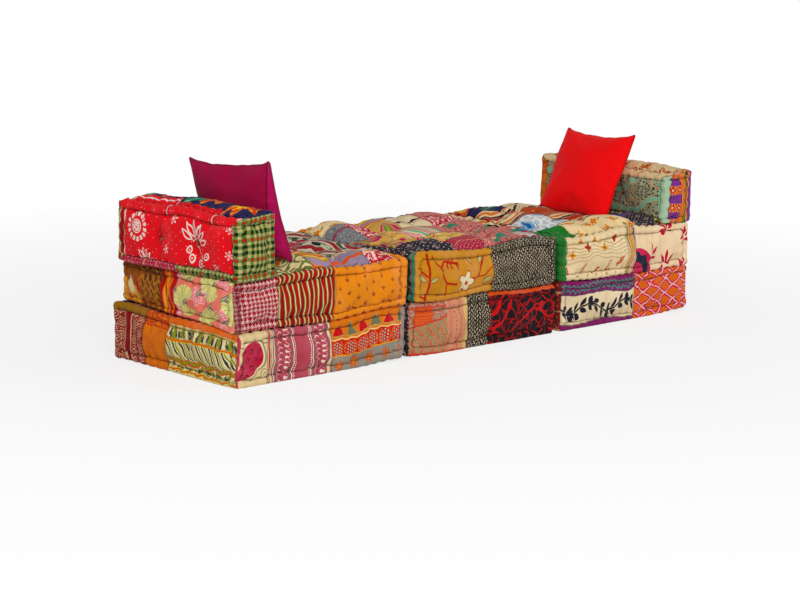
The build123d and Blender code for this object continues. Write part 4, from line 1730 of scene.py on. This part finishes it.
# %% Plans of the middle stack
PLANS["middle_lower_mattress"] = read_plan("""
left 1000: 300 red_scroll, 606 black_dots
front 1000: 272 salmon_block, 369 basket_weave, 700 black_red_leaf
right 1000: 250 black_red_leaf, 606 orange_lattice
back 1000: 260 coral_fan, 450 kantha_orange, 700 blue_paisley
top 300: 300 red_block, 700 dusty_rose
top 1000: 380 salmon_block, 700 rust_plain
bottom 1000: 360 rust_plain, 700 black_dots
""")
PLANS["middle_upper_mattress"] = read_plan("""
left 1000: 340 slate_plain, 582 black_dots, 606 teal_plain
front 1000: 372 mustard_branch, 700 basket_weave
right 1000: 280 basket_weave, 440 red_lime_stripe, 606 cream_leaf
back 1000: 220 orange_banded, 480 crimson_houndstooth, 700 marigold_sprig
top 110: 220 black_dots, 370 crimson_dots, 580 dusty_rose, 700 twisted_border
top 230: 190 magenta_paisley, 380 yellow_floral, 630 dusty_rose, 700 twisted_border
top 340: 130 magenta_paisley, 220 yellow_floral, 360 mint_stripe, 700 dusty_rose
top 480: 120 slate_plain, 220 red_speckle, 340 magenta_paisley, 500 cream_leaf, 700 red_speckle
top 1000: 200 marigold_flowers, 340 orange_stripe, 500 cream_leaf, 700 dusty_rose
bottom 1000: 360 rust_plain, 700 mustard_branch
""")

# %% Plans of the right stack
PLANS["right_lower_mattress"] = read_plan("""
left 1000: 300 black_red_leaf, 606 brown_dots
front 1000: 395 purple_vine, 700 orange_lattice
right 1000: 220 orange_lattice, 420 salmon_block, 606 olive_chevron
back 1000: 250 pink_lace, 500 mustard_branch, 700 red_scroll
top 300: 380 purple_vine, 700 rust_plain
top 1000: 300 dusty_rose, 700 kantha_orange
bottom 1000: 360 kantha_orange, 700 rust_plain
""")
PLANS["right_upper_mattress"] = read_plan("""
left 1000: 400 black_red_band, 606 grass_green
front 1000: 16 grass_green, 345 cream_wave, 388 striped_border, 700 cream_sprig
right 1000: 240 cream_sprig, 440 red_block, 606 ikat_petal
back 1000: 280 marigold_sprig, 500 basket_weave, 700 red_lime_stripe
top 140: 100 grass_green, 420 marigold_flowers, 700 black_dots
top 300: 200 blue_paisley, 440 black_red_band, 700 violet_plain
top 450: 240 black_red_band, 460 rust_plain, 700 violet_plain
top 1000: 200 navy_flower, 500 cream_leaf, 700 blue_paisley
bottom 1000: 360 dusty_rose, 700 rust_plain
""")

# %% Plans of the bolsters
PLANS["left_bolster"] = read_plan("""
left 1000: 1000 red_block
front 1000: 1000 green_check
back 1000: 1000 red_lime_stripe
top 120: 16 red_block, 1000 navy_flower
top 340: 42 red_block, 1000 navy_flower
top 1000: 62 red_block, 1000 navy_flower
bottom 300: 1000 crimson_dots
bottom 1000: 1000 green_check
right 1000: 340 crimson_dots, 600 olive_floral
""")
PLANS["right_bolster"] = read_plan("""
left 1000: 1000 mint_paisley
front 1000: 1000 purple_geometric
back 1000: 1000 kantha_orange
top 400: 1000 cream_motif
top 1000: 1000 cream_motif
bottom 300: 1000 crimson_dots
bottom 1000: 1000 green_check
right 1000: 330 salmon_block, 600 red_scroll
""")


# %% [markdown]
# The six mattresses differ in three things besides their cloths: which sides are pressed flat,
# how they lie, and how far their corners have crept. The lower ones are pressed flat by the
# upper ones. An upper one is pressed only in the strip under its bolster.

# %% Mattresses
def border_size(cushion):
    """The size of a cushion's border in the CAD model."""
    low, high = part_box(f"{cushion}_border")
    return tuple(high - low)


MATTRESS_SIZE = border_size("middle_lower_mattress")
PRESSED_STRIP = 0.159
PRESSED_EASE = 0.03
SEAT_CROWN = 0.026
LEFT_SEAT_TURN = math.radians(-2.5)
MATTRESS_PIECES = ("border", "top_panel", "bottom_panel", "filling")


def pressed_all(flat):
    """A side that lies flat all over."""
    return np.ones(len(flat))


def pressed_end(side):
    """A side that lies flat in the strip at its left (-1) or right (1) end."""
    def share(flat):
        inner_end = MATTRESS_SIZE[0] / 2 - PRESSED_STRIP
        return 1 - smooth(-PRESSED_EASE, 0, inner_end - side * flat[:, 0])
    return share


def tufted_panel(crown):
    """A tufted face of a mattress."""
    return {
        "crown": crown,
        "reach": TOP_REACH,
        "tufts": grid_tufts(MATTRESS_SIZE[0], MATTRESS_SIZE[1], 2, 2),
        "tuft_depth": TUFT_DEPTH,
        "valley": VALLEY_DEPTH,
    }


def seat_panel(side):
    """The tufted top of an upper mattress."""
    panel = tufted_panel(SEAT_CROWN)
    if side:
        panel["pressed"] = pressed_end(side)
    return panel


CREPT = {
    "left_lower_mattress": {"back_left": (-0.013, 0.004), "front_left": (-0.004, 0.0)},
    "left_upper_mattress": {"back_left": (0.010, -0.002)},
    "middle_lower_mattress": {},
    "middle_upper_mattress": {"front_left": (0.022, 0.0), "back_left": (0.014, 0.0)},
    "right_lower_mattress": {"front_right": (-0.006, 0.0)},
    "right_upper_mattress": {"front_right": (-0.007, 0.0)},
}
flat_panel = {**tufted_panel(0.0), "pressed": pressed_all}
mattress_caps = {"border": 0.008, "top": 0.015, "bottom": 0.0001}
upper_grids = lower_grids = None
panels = {"bottom": flat_panel, "top": seat_panel(0)}
upper_grids = wrinkles(MATTRESS_SIZE, panels, 5, mattress_caps)
lower_grids = wrinkles(MATTRESS_SIZE, {"bottom": flat_panel, "top": flat_panel}, 8, mattress_caps)
MIRRORS = {"left": (1, 1, 1), "middle": (-1, 1, 1), "right": (1, -1, 1)}
covers = {}
for number, (name, moves) in enumerate(CREPT.items()):
    upper = "upper" in name
    side = {"left": -1, "middle": 0, "right": 1}[name.split("_")[0]]
    panels = {"bottom": flat_panel, "top": seat_panel(side) if upper else flat_panel}
    turn = LEFT_SEAT_TURN if name == "left_upper_mattress" else 0
    covers[name] = make_cushion(
        name, MATTRESS_SIZE, border_middle(name), turn, (1, 2) if upper else (0, 1), panels,
        PLANS[name], ("top", "bottom"), 5 + 13 * number, moves, MATTRESS_PIECES,
        upper_grids if upper else lower_grids, MIRRORS[name.split("_")[0]],
    )

# %% [markdown]
# A bolster is the same cushion, narrower, and it stands on its long border. Its tufted faces
# look left and right, so only the names of the tufted sides change.

# %% Bolsters
BOLSTER_PIECES = ("border", "inner_panel", "outer_panel", "filling")
BOLSTER_CAPS = {"border": 0.006, "left": 0.008, "right": 0.008, "bottom": 0.0001}
bolster_grids = None
for number, name in enumerate(("left_bolster", "right_bolster")):
    size = border_size(name)
    face_panel = {
        "crown": 0.008,
        "reach": 0.075,
        "tufts": grid_tufts(size[1], size[2], 2, 1),
        "tuft_depth": 0.022,
        "valley": 0.006,
    }
    panels = {
        "left": face_panel, "right": face_panel, "top": {"crown": 0.015, "reach": 0.060},
        "bottom": {"pressed": pressed_all, "crown": 0.0},
    }
    crept = (0.0, 0.013 * number)
    if not bolster_grids:
        bolster_grids = wrinkles(size, panels, 31, BOLSTER_CAPS)
    covers[name] = make_cushion(
        name, size, border_middle(name), 0, (2, 3), panels, PLANS[name], ("left", "right"),
        101 + 17 * number, {"back_left": crept, "back_right": crept}, BOLSTER_PIECES, bolster_grids,
        (1, 1 - 2 * number, 1),
    )


# %% [markdown]
# A throw pillow is two squares of cotton sewn together and filled. Nothing shapes it but its
# filling, so it is made the way it is sewn: a flat, closed pair of squares is blown up by the
# cloth simulation. Its sides draw in, its corners stay behind as ears, and small folds run in
# from the seam, all by themselves. One pillow is simulated and serves for both, turned over
# and with other slack waves for the second one. Its swell is then set to what the CAD model has.

# %% Sew and fill a throw pillow
PILLOW_SIDE = 0.350
PILLOW_STEP = 0.0088
PILLOW_SWELLS = (0.058, 0.050)
PILLOW_PRESSURE = 5.0
PILLOW_FRAMES = 26
PILLOW_DRAWS = (0.03, 0.30)
PILLOW_PLUMP = 0.78
GATHER_DEPTH = 0.0042
GATHER_SPACING = 0.042
GATHER_REACH = 0.030
CORNER_POWER = 22
EAR_DRAWS = (0.004, 0.013)
EAR_REACH = 0.020
SEAM_PINCH = 0.75
SEAM_REACH = 0.008
PINCH_REACH = 0.011


@printed((154, 26, 64), drift=0, sheen=0.05, crumple=0.4, fade=0.2)
def magenta_cotton(c, u, v):
    c.dye(c.noise(2.4, 3, 1, 0.3).above(0.5) * 0.10, (186, 40, 96))
    # Painted light: the front half and a band of the back beside the seam are dyed a lighter pink, as
    # lit.
    front = c.stored("front")
    lit_band_slant = u + v * 0.15
    c.dye((front + lit_band_slant.below(60)).least(1.0), (178, 34, 90))
    # Painted shadow: a dark line along the edge of the lit band.
    c.dye(line(lit_band_slant, 61, 1.8) * (1 - front), (104, 16, 44))


@printed((249, 10, 17), drift=0, sheen=0.05, crumple=0.25, fade=0.2)
def red_cotton(c, u, v):
    c.dye(c.noise(2.4, 3, 1, 0.3).above(0.5) * 0.10, (240, 60, 54))


def filled_pillow():
    """The points of a filled pillow, lying flat, with the mesh they belong to."""
    mesh, flat = gridded_box((PILLOW_SIDE, PILLOW_SIDE, 0.004), (), PILLOW_STEP)
    set_points(mesh, flat)
    nothing_held = np.zeros(len(flat), dtype=bool)
    points = inflated(mesh, nothing_held, PILLOW_PRESSURE, 0.0, PILLOW_FRAMES)
    points -= (points.min(0) + points.max(0)) / 2
    points[:, :2] *= PILLOW_SIDE / np.ptp(points[:, :2], axis=0)
    for axis, draw in enumerate(PILLOW_DRAWS):
        points[:, axis] = points[:, axis] * draw + flat[:, axis] * (1 - draw)
    for sign, swell_height in zip((1, -1), PILLOW_SWELLS):
        half = sign * points[:, 2] > 0
        share = np.abs(points[half, 2]) / np.abs(points[half, 2]).max()
        points[half, 2] = sign * swell_height * share ** PILLOW_PLUMP
    inside = PILLOW_SIDE / 2 - np.abs(flat[:, :2]).max(1)
    along = np.abs(flat[:, :2]).min(1) * np.sign(flat[:, 0] * flat[:, 1])
    gather = np.sin(along * 2 * math.pi / GATHER_SPACING + 3 * seeded_wave(flat, 0.08, 9))
    fade = np.exp(-inside / GATHER_REACH) * (1 - np.exp(-inside / SEAM_REACH))
    points[:, 2] += GATHER_DEPTH * gather * fade * np.sign(points[:, 2])
    points[:, 2] *= 1 - SEAM_PINCH * np.exp(-(inside / PINCH_REACH) ** 2)
    ring = np.abs(flat[:, :2]).max(1)
    bow = (np.abs(flat[:, :2]) ** CORNER_POWER).sum(1) ** (1 / CORNER_POWER)
    points[:, :2] *= (ring / np.maximum(bow, 1e-6))[:, None]
    spread = 2 * np.abs(flat[:, :2]) / PILLOW_SIDE
    from_corner = (1 - spread[:, ::-1]) * PILLOW_SIDE / 2
    drawn = np.array(EAR_DRAWS) * (np.exp(-(from_corner / EAR_REACH) ** 2) - 0.15) * spread ** 6
    points[:, :2] += np.sign(flat[:, :2]) * drawn
    return mesh, flat, points


# %% [markdown]
# A pillow leans back against its bolster with its lower edge on the seat. Its middle, lean,
# turn and spin are the CAD model's. Where it would still dip into the seat or the bolster, its
# points are pushed out to the surface of that cover, which leaves it pressed flat there, as a
# real pillow is.

# %% Lean the pillows
PILLOW_LEANS = {
    "left_pillow": (-1, 15.6, 8.0, -3.5, (-0.871, -0.062, 0.510)),
    "right_pillow": (1, 26.0, -3.0, 0.5, (0.880, 0.033, 0.484)),
}
PILLOW_CLEARANCE = 0.0015
PILLOW_WAVE = 0.006
PILLOW_WAVE_SCALE = 0.11
PILLOW_WIDE = 1.012
PILLOW_TALL = {"left_pillow": 0.940, "right_pillow": 0.985}


def pillow_stand(side, lean, turn, spin, middle):
    """The matrix that stands a flat pillow up in its place."""
    lean, turn, spin = (math.radians(angle) for angle in (lean, turn, spin))
    across = Vector((side * math.sin(turn), -side * math.cos(turn), 0))
    ahead = -side * math.cos(lean)
    facing = Vector((ahead * math.cos(turn), ahead * math.sin(turn), math.sin(lean)))
    upward = facing.cross(across)
    stand = Matrix((across, upward, facing)).transposed()
    return Matrix.Translation(middle) @ (stand @ Matrix.Rotation(spin, 3, "Z")).to_4x4()


def pushed_clear(points, neighbours):
    """Move points that are inside or too near a neighbour out to its surface."""
    trees = []
    for cover in neighbours:
        corners = [tuple(face.vertices) for face in cover.data.polygons]
        trees.append(BVHTree.FromPolygons([vertex.co for vertex in cover.data.vertices], corners))
    moved = 0
    for index, point in enumerate(points):
        for tree in trees:
            place, normal, _, _ = tree.find_nearest(Vector(point), 0.08)
            if place is not None:
                gap = (Vector(point) - place).dot(normal)
                if gap < PILLOW_CLEARANCE:
                    point = np.array(Vector(point) + normal * (PILLOW_CLEARANCE - gap))
                    moved += 1
        points[index] = point
    return moved


def make_pillow(name, mesh, flat, points, cloth, flip, seed):
    """A filled pillow, stood against its bolster and dressed in plain cotton."""
    mesh = mesh.copy()
    slack = PILLOW_WAVE * vector_wave(flat, PILLOW_WAVE_SCALE, seed)
    points = points + slack * np.array((0.5, 0.5, 1.0))
    points[:, 0] *= flip * PILLOW_WIDE
    points[:, 1] *= PILLOW_TALL[name]
    if flip < 0:
        mesh.flip_normals()
    stand = pillow_stand(*PILLOW_LEANS[name])
    points = np.array([stand @ Vector(point) for point in points])
    side = name.split("_")[0]
    moved = pushed_clear(points, [covers[f"{side}_upper_mattress"], covers[f"{side}_bolster"]])
    set_points(mesh, points)
    corners = read_numbers(mesh.loops, "vertex_index", 1, int)[:, 0]
    places = flat[corners, :2] + PILLOW_SIDE / 2
    mesh.uv_layers.new(name="patch").data.foreach_set("uv", places.ravel())
    inside = PILLOW_SIDE / 2 - np.abs(flat[:, :2]).max(1)
    # The seam ring, where the cloth paints shade.
    keep_number(mesh, "seam", (inside < 0.001).astype(float))
    # The front half, where the magenta cloth has painted light.
    keep_number(mesh, "front", (flat[:, 2] > 0).astype(float))
    keep_number(mesh, "groove", np.zeros(len(flat)))
    mesh.materials.append(CLOTHS[cloth])
    mesh.shade_smooth()
    pillow = add_object(f"{name}_cover", mesh)
    finer = pillow.modifiers.new("finer", "SUBSURF")
    finer.levels = finer.render_levels = 1
    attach(pillow, name)
    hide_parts(f"{name}_front_cover", f"{name}_back_cover", f"{name}_inner_pad")
    box = np.round((points.min(0), points.max(0)), 3)
    print(name, "points pushed clear:", moved, "box", *box)


pillow_mesh, pillow_flat, pillow_points = filled_pillow()
make_pillow("left_pillow", pillow_mesh, pillow_flat, pillow_points, "magenta_cotton", 1, 71)
make_pillow("right_pillow", pillow_mesh, pillow_flat, pillow_points, "red_cotton", -1, 72)
bpy.data.meshes.remove(pillow_mesh)


# %% [markdown]
# A tie of waxed cotton twine goes through the filling at every tuft and ends in a small square
# knot with two short tails, deep in its dimple. A knot could be one curve, but at this size it
# reads as a lump of crossed strands with its ends sticking out, so it is built as that: two
# crossed loops of twine, each a small ring turned by spin, and two bent tails.

# %% Knots in the tufts
TWINE_RADIUS = 0.0011
LOOP_RADIUS = 0.0030
TAIL_LENGTH = 0.011
KNOT_TURN = 1.9
KNOT_LIFT = 0.0012
PLY_SCALE = 420


def twine_loop(shape, tilt):
    """One loop of twine round the middle of a knot."""
    ring = bmesh.ops.create_circle(shape, segments=7, radius=TWINE_RADIUS)["verts"]
    bmesh.ops.rotate(shape, verts=ring, cent=(0, 0, 0), matrix=Matrix.Rotation(math.pi / 2, 3, "X"))
    bmesh.ops.translate(shape, verts=ring, vec=(LOOP_RADIUS, 0, 0))
    edges = list(dict.fromkeys(edge for vert in ring for edge in vert.link_edges))
    before = set(shape.verts)
    bmesh.ops.spin(
        shape, geom=ring + edges, cent=(0, 0, 0), axis=(0, 0, 1), angle=2 * math.pi, steps=12,
        use_merge=True,
    )
    made = [vert for vert in shape.verts if vert not in before or vert in ring]
    bmesh.ops.scale(shape, verts=made, vec=(1.0, 0.62, 1.0))
    lean = Matrix.Rotation(tilt, 3, Vector((0.4, 1, 0.2)))
    bmesh.ops.rotate(shape, verts=made, cent=(0, 0, 0), matrix=lean)


def twine_tail(shape, direction, bend):
    """A short end of twine that bends away from the knot."""
    ring = bmesh.ops.create_circle(shape, segments=7, radius=TWINE_RADIUS * 0.9, cap_ends=True)["verts"]
    aim = Vector(direction).normalized()
    turn = Vector((0, 0, 1)).rotation_difference(aim).to_matrix()
    bmesh.ops.rotate(shape, verts=ring, cent=(0, 0, 0), matrix=turn)
    face = next(iter(set.intersection(*(set(vert.link_faces) for vert in ring))))
    for _ in range(4):
        made = bmesh.ops.extrude_face_region(shape, geom=[face])["geom"]
        verts = [item for item in made if isinstance(item, bmesh.types.BMVert)]
        bmesh.ops.delete(shape, geom=[face], context="FACES_ONLY")
        aim = (aim + Vector(bend) * 0.25).normalized()
        bmesh.ops.translate(shape, verts=verts, vec=aim * TAIL_LENGTH / 4)
        face = next(item for item in made if isinstance(item, bmesh.types.BMFace))


def knot_shape():
    """One knot with its outward side up."""
    shape = bmesh.new()
    twine_loop(shape, 0.9)
    twine_loop(shape, -0.8)
    twine_tail(shape, (1, 0.3, 0.5), (0.2, 0.5, -0.5))
    twine_tail(shape, (-1, 0.2, 0.6), (-0.3, -0.6, -0.4))
    bmesh.ops.recalc_face_normals(shape, faces=shape.faces)
    return shape


def make_twine():
    """Waxed cotton: two plies that wind round each other, a little fuzzy."""
    cloth = Cloth("waxed_twine", (176, 152, 112), 0)
    place = cloth.add("TexCoord").outputs["Object"]
    wave = cloth.add("TexWave", Vector=place, Scale=PLY_SCALE, Distortion=1.5)
    wave.bands_direction = "DIAGONAL"
    cloth.dye(Wire(cloth.tree, wave.outputs["Fac"]) * 0.6, (112, 88, 58))
    bump = cloth.add("Bump", Distance=0.0004, Height=wave.outputs["Fac"])
    surface = cloth.tree.nodes["Principled BSDF"]
    cloth.tree.links.new(cloth.colour, surface.inputs["Base Color"])
    cloth.tree.links.new(bump.outputs[0], surface.inputs["Normal"])
    surface.inputs["Roughness"].default_value = 0.7
    return cloth.material


twine = make_twine()
for name, spots in tuft_spots.items():
    knots = bmesh.new()
    for number, (place, normal) in enumerate(spots):
        one = knot_shape()
        aim = Vector((0, 0, 1)).rotation_difference(normal).to_matrix().to_4x4()
        spin = Matrix.Rotation(number * KNOT_TURN, 4, "Z")
        one.transform(Matrix.Translation(place + normal * KNOT_LIFT) @ aim @ spin)
        mesh = to_mesh(one, "knot")
        knots.from_mesh(mesh)
        bpy.data.meshes.remove(mesh)
    mesh = to_mesh(knots, f"{name}_knots")
    mesh.materials.append(twine)
    mesh.shade_smooth()
    piece = add_object(f"{name}_knots", mesh)
    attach(piece, name)
    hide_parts(f"{name}_tuft_ties")
    print(piece.name, len(spots), "knots,", len(mesh.polygons), "faces")
